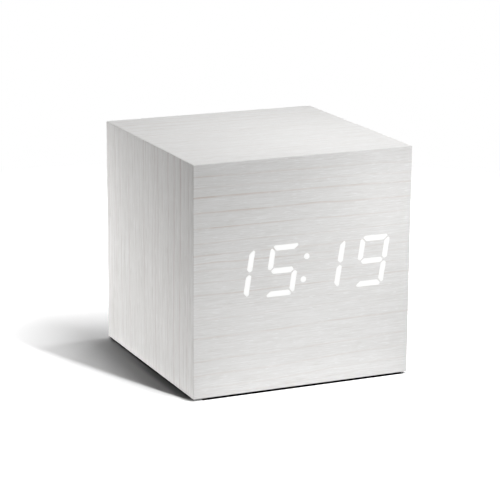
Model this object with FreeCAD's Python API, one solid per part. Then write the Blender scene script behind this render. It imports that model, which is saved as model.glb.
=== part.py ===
# A cube-shaped desk clock: a veneered box of mitred boards, with a seven-bar
# light display that shines through the front veneer, three keys and a power
# socket at the back, and a battery bay with a hinged door in the underside.
# The origin is on the table, under the middle of the case. Up is +Z, the
# display faces -Y, and all lengths are in millimetres.

import FreeCAD
import Part

import math
import os

Vector = FreeCAD.Vector

# Case
case_width = 68.0  # left to right, over the veneer
case_depth = 68.0  # front to back, over the veneer
case_height = 67.5  # underside to top, over the veneer
board_thickness = 4.0
veneer_thickness = 0.4
edge_radius = 0.35  # softened edge of the veneer

# Feet
foot_lift = 0.5  # the dark gap under the case
foot_radius = 2.6
foot_inset = 3.8  # from the side of the case to the middle of a foot
foot_edge = 0.2  # bevel of a foot's sole

# Digits, measured on the centre lines of their bars
shown_time = "15:19"
digit_width = 7.75
digit_height = 13.3
digit_slant = 8.7  # degrees from upright
bar_thickness = 1.6
bar_gap = 0.32  # from a corner of the centre lines to the mitred end of a bar
bar_clip = 0.45  # cut off the outer corner of a bar
bar_blunt = 0.45  # how far a bar's outer corner stands back at the middle
bar_corner = 0.32  # rounding of a bar's corners
well_corner = 0.22  # rounding of a well's corners at its back
colon_diameter = 1.7
colon_spacing = 6.65  # between the middles of the two dots
display_rise = 1.2  # from the middle of the case up to the middle of the digits
display_shift = 0.36  # to the right of the middle of the case
display_side_gap = 1.4  # from the reflector block to the side board nearest to it

# Reflector block, film and light bars
film_thickness = 0.2
reflector_end = 0.8  # from the outermost bar to the end of the block
reflector_rim = 1.8  # from the tops and bottoms of the digits to the block's
reflector_depth = 6.3
reflector_corner = 1.0
reflector_taper = 0.2  # how much narrower a well is at its back, on each side
window_clearance = 0.15  # around the reflector block in the front board
chip_room = 1.2  # the bottom of each well, left open for its light chip
peg_radius = 0.7
peg_length = 1.9
peg_end = 4.0  # from the ends of the block to its pegs
peg_edge = 1.0  # from the top and bottom of the block to its pegs

# Display board
circuit_thickness = 1.2
circuit_corner = 1.0
light_chip_length = 1.6
light_chip_width = 0.8
light_chip_height = 0.6
display_board_edge = 0.6  # past the outermost light chips
display_screw_gap = 0.5  # between a spacer and the reflector block
display_screw_end = 2.6  # from the ends of the board to its screws
display_screw_edge = 2.4  # from the top and bottom of the board to its screws

# Screws, spacers and their holes
spacer_radius = 2.1
screw_radius = 1.0
screw_hole = 1.15  # a hole that a screw passes through freely
screw_bite = 3.0  # how far a screw goes into a board
screw_head_radius = 1.9
screw_head_height = 1.2
screw_head_edge = 0.35
slot_length = 2.2
slot_width = 0.5
slot_depth = 0.7

# Control panel at the back
panel_corner = 4.0
panel_thickness = 1.4
panel_recess = 0.8  # from the back of the case in to the panel's face
panel_rise = 6.0  # from the middle of the case up to the middle of the panel
panel_edge = 0.3  # rounding of the panel's rim
panel_clearance = 0.1
panel_land = 4.0  # from the lip out to the ends of the panel
panel_rim = 1.8  # from the lip out to the top and bottom of the panel
lip_room = 1.6  # between the keys' flanges and the lip, above and below
lip_side_room = 0.4  # between the keys or the socket and the lip's ends
lip_corner = 2.5
lip_wall = 1.2
lip_length = 2.4
panel_screw_head = 1.5
panel_slot_length = 1.7
panel_screw_bite = 1.9

# Keys, left to right as seen from the back
key_names = ("set_button", "up_button", "down_button")
key_pitch = 9.0
keys_middle = 6.0  # X of the middle key
key_radius = 2.5
key_stand_out = 0.7  # past the panel's face, just short of the back of the case
key_travel = 0.5
key_dome = 0.3
key_edge = 0.25
key_clearance = 0.15
key_hole_bevel = 0.25
key_flange_radius = 3.2
key_flange_thickness = 0.8
key_stem_radius = 1.5

# Switches under the keys
switch_size = 6.0
switch_corner = 0.4
switch_base_height = 3.2
switch_cover_thickness = 0.3
switch_cover_size = 5.6
plunger_radius = 1.65
plunger_clearance = 0.1
plunger_stand_out = 1.5
plunger_length = 2.6
plunger_edge = 0.15

# Power socket
socket_place = -14.5  # X of its middle
socket_width = 7.5
socket_height = 2.6
socket_chamfer = 0.8
socket_corner = 0.3
socket_wall = 0.25
socket_clearance = 0.3
socket_recess = 0.3  # from the panel's face in to the mouth
socket_depth = 5.4
tongue_width = 4.6
tongue_height = 0.6
tongue_gap = 0.55  # from the inside of the shell down to the tongue
tongue_recess = 0.5  # from the mouth in to the tongue's tip
contact_count = 5
contact_pitch = 0.65
contact_width = 0.35
contact_height = 0.12
contact_recess = 0.9  # from the mouth in to the tips of the contact strips

# Main board
main_board_width = 46.0
main_board_height = 32.0
main_board_gap = 4.6  # from the back board's inner face to the main board
main_screw_inset = 2.5

# Places on the main board, right of its middle and up from its lower edge
clock_chip_place = (-11.0, 10.0)
buzzer_place = (13.5, 14.0)
microphone_place = (3.0, 6.0)
quartz_place = (1.5, 11.5)
capacitor_place = (14.5, 4.5)
thermistor_place = (-19.0, 20.0)
lead_pads = (-6.0, 8.5)
lead_pad_rise = 2.0
main_header_rise = 23.0

# Places on the display board, up from its middle
driver_chip_rise = -5.5
display_header_rise = 5.7

# Parts on the main board and the display board
chip_length = 12.8
chip_width = 7.5
chip_height = 2.3
chip_lift = 0.15
lead_count = 10  # on each side of a chip
lead_pitch = 1.27
lead_width = 0.4
lead_thickness = 0.2
lead_reach = 1.4
buzzer_radius = 6.0
buzzer_height = 5.5
buzzer_edge = 0.4
buzzer_hole = 1.0
buzzer_hole_depth = 3.0
microphone_radius = 3.0
microphone_height = 2.7
microphone_rim = 0.5
crystal_radius = 1.0
crystal_length = 6.0
capacitor_radius = 2.5
capacitor_height = 7.0
capacitor_foot = 1.0
capacitor_waist = 0.3
thermistor_radius = 1.2
thermistor_lead = 4.0
thermistor_wire = 0.3
thermistor_spread = 0.6  # from the middle of the bead to each lead

# Ribbon between the two boards
ribbon_width = 14.0
ribbon_thickness = 0.9
ribbon_sag = 5.0
ribbon_straight = 0.22  # share of the span that runs level at each end
ribbon_belly = 0.16  # share of the span that runs level at the bottom
header_width = 16.0
header_height = 4.0
header_depth = 3.2
header_corner = 0.4

# Cells and battery bay
cell_count = 4
cell_diameter = 10.3
cell_length = 44.5
cell_gap = 1.0
cell_nub_radius = 1.9
cell_nub_height = 0.8
cell_shoulder = 0.5
cell_door_gap = 0.2
trough_clearance = 0.1
tray_wall = 1.5
tray_roof = 1.2
rim_wall = 1.8
rim_corner = 1.5
flange_width = 1.2
flange_thickness = 1.2
tray_clearance = 0.1  # around the rim in the bottom board
hook_width = 6.0
hook_place = 13.0  # Y of the middle of a hook, and minus it
hook_reach = 0.9
hook_lip = 0.6
hook_height = 2.4
contact_thickness = 0.4
contact_size = 7.0
leaf_rise = 3.2
leaf_width = 4.0
leaf_clearance = 0.05
tail_width = 1.6
tail_length = 2.2
lead_wire_radius = 0.5
lead_bow = 7.5  # how far a lead stands off the main board
lead_bend = 0.3  # share of the climb below and above a lead's upright run

# Battery door
door_thickness = 1.8
door_ledge = 1.2
door_clearance = 0.15
door_lift = 0.1  # between the door and its ledge
door_corner = 0.4
tab_place = 14.0  # X of the middle of a tab, and minus it
tab_width = 6.0
tab_reach = 1.9
tab_thickness = 0.75
tab_drop = 0.05  # from the hinge axis up to the underside of a tab
tongue_slot = 0.8
latch_width = 10.0
latch_length = 9.0
latch_post = 1.0
latch_height = 1.7
barb_reach = 0.4
barb_height = 0.7
scoop_length = 2.2  # the hollow for a fingernail behind the latch
scoop_depth = 1.2
groove_width = 0.6
groove_depth = 0.4
groove_count = 4
groove_pitch = 1.3
groove_inset = 1.0

# Bends
bend_share = 0.45  # share of a straight run that the bend at its end may take

# Places that follow from the sizes above
case_low = Vector(-case_width / 2, -case_depth / 2, foot_lift)
case_high = Vector(case_width / 2, case_depth / 2, foot_lift + case_height)
case_middle = foot_lift + case_height / 2
wall = veneer_thickness + board_thickness
inner_right = case_high.x - wall
inner_front = case_low.y + wall
inner_back = case_high.y - wall
floor_inside = case_low.z + wall

lean = math.tan(math.radians(digit_slant))
digit_count = len(shown_time.replace(":", ""))
display_x = display_shift
display_z = case_middle + display_rise
film_front = case_low.y + veneer_thickness
reflector_front = film_front + film_thickness
reflector_back = reflector_front + reflector_depth
display_board_back = reflector_back + circuit_thickness
reflector_width = 2 * (inner_right - display_side_gap - abs(display_shift))
reflector_height = digit_height + bar_thickness + 2 * reflector_rim
row_width = reflector_width - bar_thickness - lean * (digit_height + bar_thickness) - 2 * reflector_end
digit_pitch = (row_width - digit_width) / (digit_count - 1)
display_board_width = row_width + lean * digit_height / 2 + light_chip_width + 2 * display_board_edge
display_screw_rise = reflector_height / 2 + display_screw_gap + spacer_radius
display_board_height = 2 * (display_screw_rise + display_screw_edge)

panel_z = case_middle + panel_rise
panel_face = case_high.y - panel_recess
panel_inner = panel_face - panel_thickness
main_board_back = inner_back - main_board_gap
main_board_front = main_board_back - circuit_thickness
main_board_low = panel_z - main_board_height / 2
key_places = [keys_middle + i * key_pitch for i in (1, 0, -1)]
plunger_top = main_board_back + switch_base_height + switch_cover_thickness + plunger_stand_out
lip_reach = max(key_places[0] + key_flange_radius, socket_width / 2 + socket_clearance - socket_place)
lip_width = 2 * (lip_reach + lip_side_room + lip_wall + panel_clearance)
lip_height = 2 * (key_flange_radius + lip_room + lip_wall + panel_clearance)
panel_width = lip_width + 2 * panel_land
panel_height = lip_height + 2 * panel_rim

cell_radius = cell_diameter / 2
cell_pitch = cell_diameter + cell_gap
bay_width = (cell_count - 1) * cell_pitch + cell_diameter + 2 * trough_clearance
bay_length = cell_length + 2 * contact_thickness + leaf_rise
mouth_width = bay_width + 2 * door_ledge
mouth_length = bay_length + 2 * door_ledge
rim_width = mouth_width + 2 * rim_wall
rim_length = mouth_length + 2 * rim_wall
door_top = case_low.z + door_thickness
cell_axis_z = door_top + door_lift + cell_door_gap + cell_radius
tray_top = cell_axis_z + cell_radius + trough_clearance + tray_roof
door_axis_y = -mouth_length / 2 + door_clearance + door_thickness / 2
door_axis_z = case_low.z + door_thickness / 2
door_back = mouth_length / 2 - door_clearance


def box(low, high):
    """A box between two opposite corners."""
    size = Vector(*high) - Vector(*low)
    return Part.makeBox(size.x, size.y, size.z, Vector(*low))


def rod(centre, direction, radius, length):
    """A cylinder that starts at centre and runs length along direction."""
    return Part.makeCylinder(radius, length, Vector(*centre), Vector(*direction))


def upright(solid):
    """The same solid with its faces outwards."""
    return solid.reversed() if solid.Volume < 0 else solid


def joined(solids):
    """One solid out of solids that touch."""
    whole = solids[0]
    for other in solids[1:]:
        whole = whole.fuse(other)
    return whole.removeSplitter()


def drilled(solid, tools):
    """solid less all the tools."""
    return solid.cut(Part.makeCompound(tools)).removeSplitter()


def rounded_outline(points, radius):
    """A closed wire through points, each corner replaced by a tangent arc of radius."""
    entries = []
    count = len(points)
    for i in range(count):
        corner = points[i]
        before = points[i - 1] - corner
        after = points[(i + 1) % count] - corner
        half = before.getAngle(after) / 2
        room = bend_share * min(before.Length, after.Length)
        run = min(radius / math.tan(half), room)
        bend = run * math.tan(half)
        before.normalize()
        after.normalize()
        bisector = (before + after).normalize()
        middle = corner + bisector * (bend / math.sin(half) - bend)
        entries.append((corner + before * run, middle, corner + after * run))
    edges = []
    for i in range(count):
        start, middle, end = entries[i]
        edges.append(Part.Arc(start, middle, end).toShape())
        edges.append(Part.LineSegment(end, entries[(i + 1) % count][0]).toShape())
    return Part.Wire(edges)


def slab(axis, middle, size, start, end, radius):
    """A rounded rectangle of size about middle, drawn out along axis from start to end."""
    outline = []
    for u, v in ((-1, -1), (1, -1), (1, 1), (-1, 1)):
        a = middle[0] + u * size[0] / 2
        b = middle[1] + v * size[1] / 2
        outline.append(Vector(a, start, b) if axis == "Y" else Vector(a, b, start))
    way = Vector(0, end - start, 0) if axis == "Y" else Vector(0, 0, end - start)
    return upright(Part.Face(rounded_outline(outline, radius)).extrude(way))


def turned(profile, base, direction):
    """The solid that profile sweeps about direction from base.

    Each step of the profile is (radius, height), reached by a line, or
    (radius, height on the way, radius, height), reached by an arc.
    """
    edges = []
    here = Vector(profile[0][0], 0, profile[0][1])
    for step in profile[1:] + profile[:1]:
        there = Vector(step[-2], 0, step[-1])
        if len(step) == 4:
            edges.append(Part.Arc(here, Vector(step[0], 0, step[1]), there).toShape())
        else:
            edges.append(Part.LineSegment(here, there).toShape())
        here = there
    face = Part.Face(Part.Wire(edges))
    solid = upright(face.revolve(Vector(), Vector(0, 0, 1), 360))
    return aimed(solid, base, direction)


def rounding(radius, height, edge):
    """A quarter-round step that turns the corner at (radius, height) inwards and up."""
    share = edge * (1 - math.sqrt(0.5))
    return (radius - share, height - share, radius - edge, height)


def crown(radius, base, rise):
    """A step along a shallow dome from (radius, base) up to its top on the axis."""
    sphere = (radius * radius + rise * rise) / (2 * rise)
    half = radius / 2
    return (half, base + rise - sphere + math.sqrt(sphere * sphere - half * half), 0, base + rise)


def aimed(solid, base, direction):
    """solid, drawn along +Z from the origin, moved to base and turned to direction."""
    turn = FreeCAD.Rotation(Vector(0, 0, 1), Vector(*direction))
    placed = solid.copy()
    placed.Placement = FreeCAD.Placement(Vector(*base), turn)
    return placed


def mitred_plate(axis, side, outer, inner):
    """One wall of a mitred box: what lies between two boxes and faces one way."""
    across, along = [i for i in range(3) if i != axis]
    rings = []
    for bounds in (outer, inner):
        ring = []
        for a, b in ((0, 0), (1, 0), (1, 1), (0, 1)):
            corner = [0.0, 0.0, 0.0]
            corner[axis] = bounds[side][axis]
            corner[across] = bounds[a][across]
            corner[along] = bounds[b][along]
            ring.append(Vector(*corner))
        rings.append(Part.makePolygon(ring + ring[:1]))
    return upright(Part.makeLoft(rings, True, True))


def shrunk(bounds, by):
    """The box bounds, taken in by the same amount on every side."""
    step = Vector(by, by, by)
    return bounds[0] + step, bounds[1] - step


def bent_path(points):
    """Straight runs through points, joined by tangent arcs, and the arcs' radii."""
    edges = []
    radii = []
    here = points[0]
    for i in range(1, len(points) - 1):
        corner = points[i]
        before = points[i - 1] - corner
        after = points[i + 1] - corner
        half = before.getAngle(after) / 2
        run = bend_share * min(before.Length, after.Length)
        before.normalize()
        after.normalize()
        radius = run * math.tan(half)
        bisector = (before + after).normalize()
        arc_start = corner + before * run
        arc_end = corner + after * run
        middle = corner + bisector * (radius / math.sin(half) - radius)
        edges.append(Part.LineSegment(here, arc_start).toShape())
        edges.append(Part.Arc(arc_start, middle, arc_end).toShape())
        radii.append(round(radius, 2))
        here = arc_end
    edges.append(Part.LineSegment(here, points[-1]).toShape())
    return Part.Wire(edges), radii


def swept(path, section):
    """The solid that a closed section sweeps along a path that starts at it."""
    return upright(path.makePipeShell([section], True, False))


def inset(points, by):
    """A convex outline in the XZ plane with every side moved inwards."""
    middle = sum(points, Vector()) / len(points)
    sides = []
    for i in range(len(points)):
        start, end = points[i], points[(i + 1) % len(points)]
        way = (end - start).normalize()
        inwards = way.cross(Vector(0, 1, 0))
        if inwards.dot(middle - start) < 0:
            inwards = inwards * -1
        sides.append((start + inwards * by, way))
    moved = []
    for i in range(len(points)):
        (p, u), (q, v) = sides[i - 1], sides[i]
        cross = u.x * v.z - u.z * v.x
        along = ((q.x - p.x) * v.z - (q.z - p.z) * v.x) / cross
        moved.append(p + u * along)
    return moved


def at_depth(points, y):
    """The same outline in the XZ plane at depth y."""
    return [Vector(p.x, y, p.z) for p in points]


def recessed(body, top, length, width, depth):
    """A screw drawn along +Z, with a cross recess cut down from its top."""
    half = length / 2
    cross = [
        box((-half, -width / 2, top - depth), (half, width / 2, top + depth)),
        box((-width / 2, -half, top - depth), (width / 2, half, top + depth)),
    ]
    return drilled(body, cross)


def screw(head, direction, head_radius, length):
    """A pan-head screw whose head stands on the point head and whose shank runs against direction."""
    body = turned(
        [
            (0, screw_head_height),
            (head_radius - screw_head_edge, screw_head_height),
            (head_radius, screw_head_height - screw_head_edge),
            (head_radius, 0),
            (screw_radius, 0),
            (screw_radius, -length + screw_radius),
            (0, -length),
        ],
        (0, 0, 0),
        (0, 0, 1),
    )
    return aimed(recessed(body, screw_head_height, slot_length, slot_width, slot_depth), head, direction)


# Bars of the digits

bars_of_digit = {
    "0": "abcdef",
    "1": "bc",
    "2": "abged",
    "3": "abgcd",
    "4": "fgbc",
    "5": "afgcd",
    "6": "afgedc",
    "7": "abc",
    "8": "abcdefg",
    "9": "abcdfg",
}

# Each bar runs from one joint of the centre lines to the next, with the
# outside of the digit on its left: the joints as shares of half the width and
# half the height, and the kind of end at each.
bar_runs = {
    "a": ((-1, 1), (1, 1), "corner", "corner"),
    "b": ((1, 1), (1, 0), "corner", "middle"),
    "c": ((1, 0), (1, -1), "middle", "corner"),
    "d": ((1, -1), (-1, -1), "corner", "corner"),
    "e": ((-1, -1), (-1, 0), "corner", "middle"),
    "f": ((-1, 0), (-1, 1), "middle", "corner"),
    "g": ((-1, 0), (1, 0), "point", "point"),
}


def bar_end(kind):
    """The end of a bar as (distance along it, distance outwards), from inside to outside."""
    half = bar_thickness / 2
    mitre = half - bar_clip
    return {
        "corner": [(half + bar_gap, -half), (bar_gap - mitre, mitre), (bar_gap - mitre + bar_clip, half)],
        "middle": [(half + bar_gap, -half), (bar_gap, 0), (bar_gap + bar_blunt, half)],
        "point": [(half + bar_gap, -half), (bar_gap, 0), (half + bar_gap, half)],
    }[kind]


def digit_x(index):
    """The middle of a digit, counted from the left."""
    return display_x + (index - (digit_count - 1) / 2) * digit_pitch


def bar_joints(name):
    """The two ends of a bar's centre line, before the digit leans, about the digit's middle."""
    start, end = bar_runs[name][:2]
    return [(u * digit_width / 2, v * digit_height / 2) for u, v in (start, end)]


def in_digit(index, u, v):
    """A place in a leaning digit, in the XZ plane."""
    return Vector(digit_x(index) + u + lean * v, 0, display_z + v)


def bar_outline(name, index):
    """The corners of one bar of one digit, in the XZ plane, leaning with the digit."""
    start_kind, end_kind = bar_runs[name][2:]
    p, q = bar_joints(name)
    length = math.hypot(q[0] - p[0], q[1] - p[1])
    way = ((q[0] - p[0]) / length, (q[1] - p[1]) / length)
    out = (-way[1], way[0])
    flat = bar_end(start_kind) + [(length - s, n) for s, n in reversed(bar_end(end_kind))]
    return [in_digit(index, p[0] + s * way[0] + n * out[0], p[1] + s * way[1] + n * out[1]) for s, n in flat]


def bar_prism(corners, front, back, taper, back_corner):
    """A bar drawn out from front to back, narrower by taper on each side at the back."""
    rings = [
        rounded_outline(at_depth(corners, front), bar_corner),
        rounded_outline(at_depth(inset(corners, taper), back), back_corner),
    ]
    return upright(Part.makeLoft(rings, True, True))


def colon_places():
    """The middles of the colon's two dots, as (X, Z)."""
    half = colon_spacing / 2
    return [(display_x + lean * v, display_z + v) for v in (half, -half)]


def all_bars():
    """Every bar of every digit, as (name, digit's index, whether it is lit)."""
    digits = shown_time.replace(":", "")
    return [(name, i, name in bars_of_digit[digits[i]]) for i in range(digit_count) for name in bar_runs]


def make_lit_digits():
    """The lit places in the front veneer, as thick as the veneer."""
    front = case_low.y
    outlines = [bar_outline(name, i) for name, i, lit in all_bars() if lit]
    tiles = [bar_prism(outline, front, film_front, 0, bar_corner) for outline in outlines]
    dots = [rod((x, front, z), (0, 1, 0), colon_diameter / 2, veneer_thickness) for x, z in colon_places()]
    return tiles + dots


def make_wells():
    """The tapering wells of the reflector block, one behind each bar and dot."""
    outlines = [bar_outline(name, i) for name, i, _ in all_bars()]
    wells = []
    for outline in outlines:
        wells.append(bar_prism(outline, reflector_front, reflector_back, reflector_taper, well_corner))
    wide = colon_diameter / 2
    narrow = wide - reflector_taper / 2
    for x, z in colon_places():
        start = Vector(x, reflector_front, z)
        wells.append(Part.makeCone(wide, narrow, reflector_depth, start, Vector(0, 1, 0)))
    return wells


def peg_places():
    """The middles of the reflector block's four pegs, as (X, Z)."""
    across = reflector_width / 2 - peg_end
    up = reflector_height / 2 - peg_edge
    return [(display_x + i * across, display_z + j * up) for i in (-1, 1) for j in (-1, 1)]


def make_reflector(wells):
    """The opaque block that keeps each bar's light apart."""
    block = slab(
        "Y",
        (display_x, display_z),
        (reflector_width, reflector_height),
        reflector_front,
        reflector_back,
        reflector_corner,
    )
    block = block.cut(Part.makeCompound(wells))
    pegs = [rod((x, reflector_back, z), (0, 1, 0), peg_radius, peg_length) for x, z in peg_places()]
    return joined([block] + pegs)


def make_light_bars(wells):
    """The clear filling of each well, stopping short of the light chip behind it."""
    reach = box(
        (case_low.x, reflector_front, case_low.z),
        (case_high.x, reflector_back - chip_room, case_high.z),
    )
    return [well.common(reach) for well in wells]


def make_light_chips():
    """One light chip on the board behind each bar and each dot."""
    chips = []
    front = reflector_back - light_chip_height
    places = []
    for name, index, _ in all_bars():
        p, q = bar_joints(name)
        middle = in_digit(index, (p[0] + q[0]) / 2, (p[1] + q[1]) / 2)
        if p[0] == q[0]:
            places.append((middle.x, middle.z, light_chip_width / 2, light_chip_length / 2))
        else:
            places.append((middle.x, middle.z, light_chip_length / 2, light_chip_width / 2))
    for x, z in colon_places():
        places.append((x, z, light_chip_width / 2, light_chip_width / 2))
    for x, z, half_x, half_z in places:
        chips.append(box((x - half_x, front, z - half_z), (x + half_x, reflector_back, z + half_z)))
    return chips


# Display board

def display_screw_places():
    """The display board's screws, as (X, Z)."""
    across = display_board_width / 2 - display_screw_end
    return [(display_x + i * across, display_z + j * display_screw_rise) for i in (-1, 1) for j in (-1, 1)]


def make_display_board():
    """The circuit board behind the reflector block."""
    size = (display_board_width, display_board_height)
    middle = (display_x, display_z)
    board = slab("Y", middle, size, reflector_back, display_board_back, circuit_corner)
    holes = board_holes(peg_places(), peg_radius, reflector_back)
    holes += board_holes(display_screw_places(), screw_hole, reflector_back)
    return drilled(board, holes)


def board_holes(places, radius, front):
    """Round holes through a circuit board whose front face is at front."""
    return [rod((x, front, z), (0, 1, 0), radius, circuit_thickness) for x, z in places]


def spacers(places, start, end):
    """Round spacers along Y between two boards, with a clear hole for a screw."""
    made = []
    for x, z in places:
        tube = rod((x, start, z), (0, 1, 0), spacer_radius, end - start)
        made.append(tube.cut(rod((x, start, z), (0, 1, 0), screw_hole, end - start)))
    return made


def make_display_screws():
    """Screws through the display board and its spacers into the front board."""
    length = display_board_back - inner_front + screw_bite
    heads = [(x, display_board_back, z) for x, z in display_screw_places()]
    return [screw(head, (0, 1, 0), screw_head_radius, length) for head in heads]


# Boards of the case

case_bounds = (case_low, case_high)
board_bounds = shrunk(case_bounds, veneer_thickness)
room_bounds = shrunk(board_bounds, board_thickness)


def pilot(x, y, z, direction, depth):
    """The pointed hole that a screw cuts in a board."""
    profile = [(0, 0), (screw_radius, 0), (screw_radius, depth - screw_radius), (0, depth)]
    return turned(profile, (x, y, z), direction)


def make_front_board():
    """The front board, with its window for the reflector block and its screw holes."""
    window = slab(
        "Y",
        (display_x, display_z),
        (reflector_width + 2 * window_clearance, reflector_height + 2 * window_clearance),
        board_bounds[0].y,
        inner_front,
        reflector_corner + window_clearance,
    )
    holes = [pilot(x, inner_front, z, (0, -1, 0), screw_bite) for x, z in display_screw_places()]
    return drilled(mitred_plate(1, 0, board_bounds, room_bounds), [window] + holes)


def panel_screw_places():
    """The control panel's two screws, as X."""
    across = (lip_width + panel_land) / 2
    return (-across, across)


def main_screw_places():
    """The main board's screws, as (X, Z)."""
    across = main_board_width / 2 - main_screw_inset
    up = main_board_height / 2 - main_screw_inset
    return [(i * across, panel_z + j * up) for i in (-1, 1) for j in (-1, 1)]


def panel_seat():
    """The room that the control panel's plate takes in the back board and its veneer."""
    return slab(
        "Y",
        (0, panel_z),
        (panel_width + 2 * panel_clearance, panel_height + 2 * panel_clearance),
        panel_inner,
        case_high.y,
        panel_corner + panel_clearance,
    )


def make_back_board():
    """The back board, with a stepped opening for the control panel and its screw holes."""
    opening = slab("Y", (0, panel_z), (lip_width, lip_height), inner_back, case_high.y, lip_corner)
    holes = [pilot(x, inner_back, z, (0, 1, 0), screw_bite) for x, z in main_screw_places()]
    holes += [pilot(x, panel_inner, panel_z, (0, -1, 0), panel_screw_bite) for x in panel_screw_places()]
    return drilled(mitred_plate(1, 1, board_bounds, room_bounds), [opening, panel_seat()] + holes)


def tray_seat():
    """The stepped room that the battery tray's rim and flange take in the bottom board and its veneer."""
    wide = rim_width + 2 * tray_clearance
    long = rim_length + 2 * tray_clearance
    corner = rim_corner + tray_clearance
    step = case_low.z + flange_thickness
    through = slab("Z", (0, 0), (wide, long), case_low.z, floor_inside, corner)
    rebate_size = (wide + 2 * flange_width, long + 2 * flange_width)
    rebate = slab("Z", (0, 0), rebate_size, case_low.z, step, corner + flange_width)
    return joined([through, rebate])


def make_bottom_board():
    """The bottom board, with the stepped opening for the battery tray."""
    return drilled(mitred_plate(2, 0, board_bounds, room_bounds), [tray_seat()])


# Veneer

def make_veneers(lit_digits):
    """The veneer: one folded strip round the front, top, back and underside, and two sides."""
    block = box(case_low, case_high)
    block = block.makeFillet(edge_radius, block.Edges)
    skin = block.cut(box(board_bounds[0], board_bounds[1]))
    sides = [skin.common(mitred_plate(0, side, case_bounds, board_bounds)) for side in (0, 1)]
    strip = skin.cut(Part.makeCompound([mitred_plate(0, side, case_bounds, board_bounds) for side in (0, 1)]))
    strip = drilled(strip, [panel_seat(), tray_seat()] + lit_digits)
    return {"veneer_strip": strip, "veneer_left": sides[0], "veneer_right": sides[1]}


# Control panel and keys

def socket_outline(grow):
    """The socket's section, wide above and chamfered below, grown all round."""
    half_width = socket_width / 2 + grow
    half_height = socket_height / 2 + grow
    cut = socket_chamfer + grow * (2 - math.sqrt(2))
    shape = (
        (-half_width, half_height),
        (half_width, half_height),
        (half_width, cut - half_height),
        (half_width - cut, -half_height),
        (cut - half_width, -half_height),
        (-half_width, cut - half_height),
    )
    return [Vector(socket_place + x, 0, panel_z + z) for x, z in shape]


def socket_prism(grow, front, back):
    """The socket's section drawn out along Y."""
    wire = rounded_outline(at_depth(socket_outline(grow), front), socket_corner)
    return upright(Part.Face(wire).extrude(Vector(0, back - front, 0)))


def make_control_panel():
    """The moulded panel let into the back: plate, locating lip, holes with softened rims."""
    middle = (0, panel_z)
    plate = slab("Y", middle, (panel_width, panel_height), panel_inner, panel_face, panel_corner)
    rim = [edge for edge in plate.Edges if abs(edge.BoundBox.YMin - panel_face) < 1e-6]
    plate = plate.makeFillet(panel_edge, rim)
    lip_back = panel_inner - lip_length
    outer = (lip_width - 2 * panel_clearance, lip_height - 2 * panel_clearance)
    inner = (outer[0] - 2 * lip_wall, outer[1] - 2 * lip_wall)
    outer_corner = lip_corner - panel_clearance
    lip = slab("Y", middle, outer, lip_back, panel_inner, outer_corner)
    hollow = slab("Y", middle, inner, lip_back, panel_inner, outer_corner - lip_wall)
    panel = joined([plate, lip.cut(hollow)])
    holes = [socket_prism(socket_clearance, lip_back, panel_face)]
    key_hole = key_radius + key_clearance
    for x in key_places:
        holes.append(rod((x, panel_inner, panel_z), (0, 1, 0), key_hole, panel_thickness))
        holes.append(widening((x, panel_face, panel_z), key_hole, key_hole + key_hole_bevel))
    for x in panel_screw_places():
        holes.append(rod((x, panel_inner, panel_z), (0, 1, 0), screw_hole, panel_thickness))
        holes.append(widening((x, panel_face, panel_z), screw_hole, panel_screw_head))
    return drilled(panel, holes)


def widening(mouth, narrow, wide):
    """A 45-degree cone that opens backwards from narrow to wide at mouth."""
    depth = wide - narrow
    start = Vector(*mouth) - Vector(0, depth, 0)
    return Part.makeCone(narrow, wide, depth, start, Vector(0, 1, 0))


def make_panel_screws():
    """Two countersunk screws that hold the control panel to the back board."""
    made = []
    length = panel_thickness + panel_screw_bite
    sink = panel_screw_head - screw_radius
    profile = [
        (0, 0),
        (panel_screw_head, 0),
        (screw_radius, -sink),
        (screw_radius, screw_radius - length),
        (0, -length),
    ]
    body = recessed(turned(profile, (0, 0, 0), (0, 0, 1)), 0, panel_slot_length, slot_width, slot_depth)
    for x in panel_screw_places():
        made.append(aimed(body, (x, panel_face, panel_z), (0, 1, 0)))
    return made


def make_key(x):
    """A round key: domed cap, flange behind the panel, and stem down to its switch."""
    flange_back = panel_inner - key_flange_thickness
    shoulder = panel_face + key_stand_out - key_dome
    profile = [
        (0, plunger_top),
        (key_stem_radius, plunger_top),
        (key_stem_radius, flange_back),
        (key_flange_radius, flange_back),
        (key_flange_radius, panel_inner),
        (key_radius, panel_inner),
        (key_radius, shoulder - key_edge),
        rounding(key_radius, shoulder, key_edge),
        crown(key_radius - key_edge, shoulder, key_dome),
    ]
    return turned(profile, (x, 0, panel_z), (0, 1, 0))


def make_switch_bases():
    """The moulded bases of the three switches, with a well for each plunger."""
    top = main_board_back + switch_base_height
    bottom = plunger_top - plunger_length - key_travel - plunger_clearance
    made = []
    for x in key_places:
        base = slab("Y", (x, panel_z), (switch_size, switch_size), main_board_back, top, switch_corner)
        well = rod((x, bottom, panel_z), (0, 1, 0), plunger_radius + plunger_clearance, top - bottom)
        made.append(base.cut(well))
    return made


def make_switch_covers():
    """The steel covers that hold the plungers in."""
    start = main_board_back + switch_base_height
    end = start + switch_cover_thickness
    made = []
    for x in key_places:
        plate = slab("Y", (x, panel_z), (switch_cover_size, switch_cover_size), start, end, switch_corner)
        hole = rod((x, start, panel_z), (0, 1, 0), plunger_radius + plunger_clearance, switch_cover_thickness)
        made.append(plate.cut(hole))
    return made


def make_plunger(x):
    """The round plunger that a key pushes into its switch."""
    profile = [
        (0, plunger_top - plunger_length),
        (plunger_radius, plunger_top - plunger_length),
        (plunger_radius, plunger_top - plunger_edge),
        (plunger_radius - plunger_edge, plunger_top),
        (0, plunger_top),
    ]
    return turned(profile, (x, 0, panel_z), (0, 1, 0))


# Power socket

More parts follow.
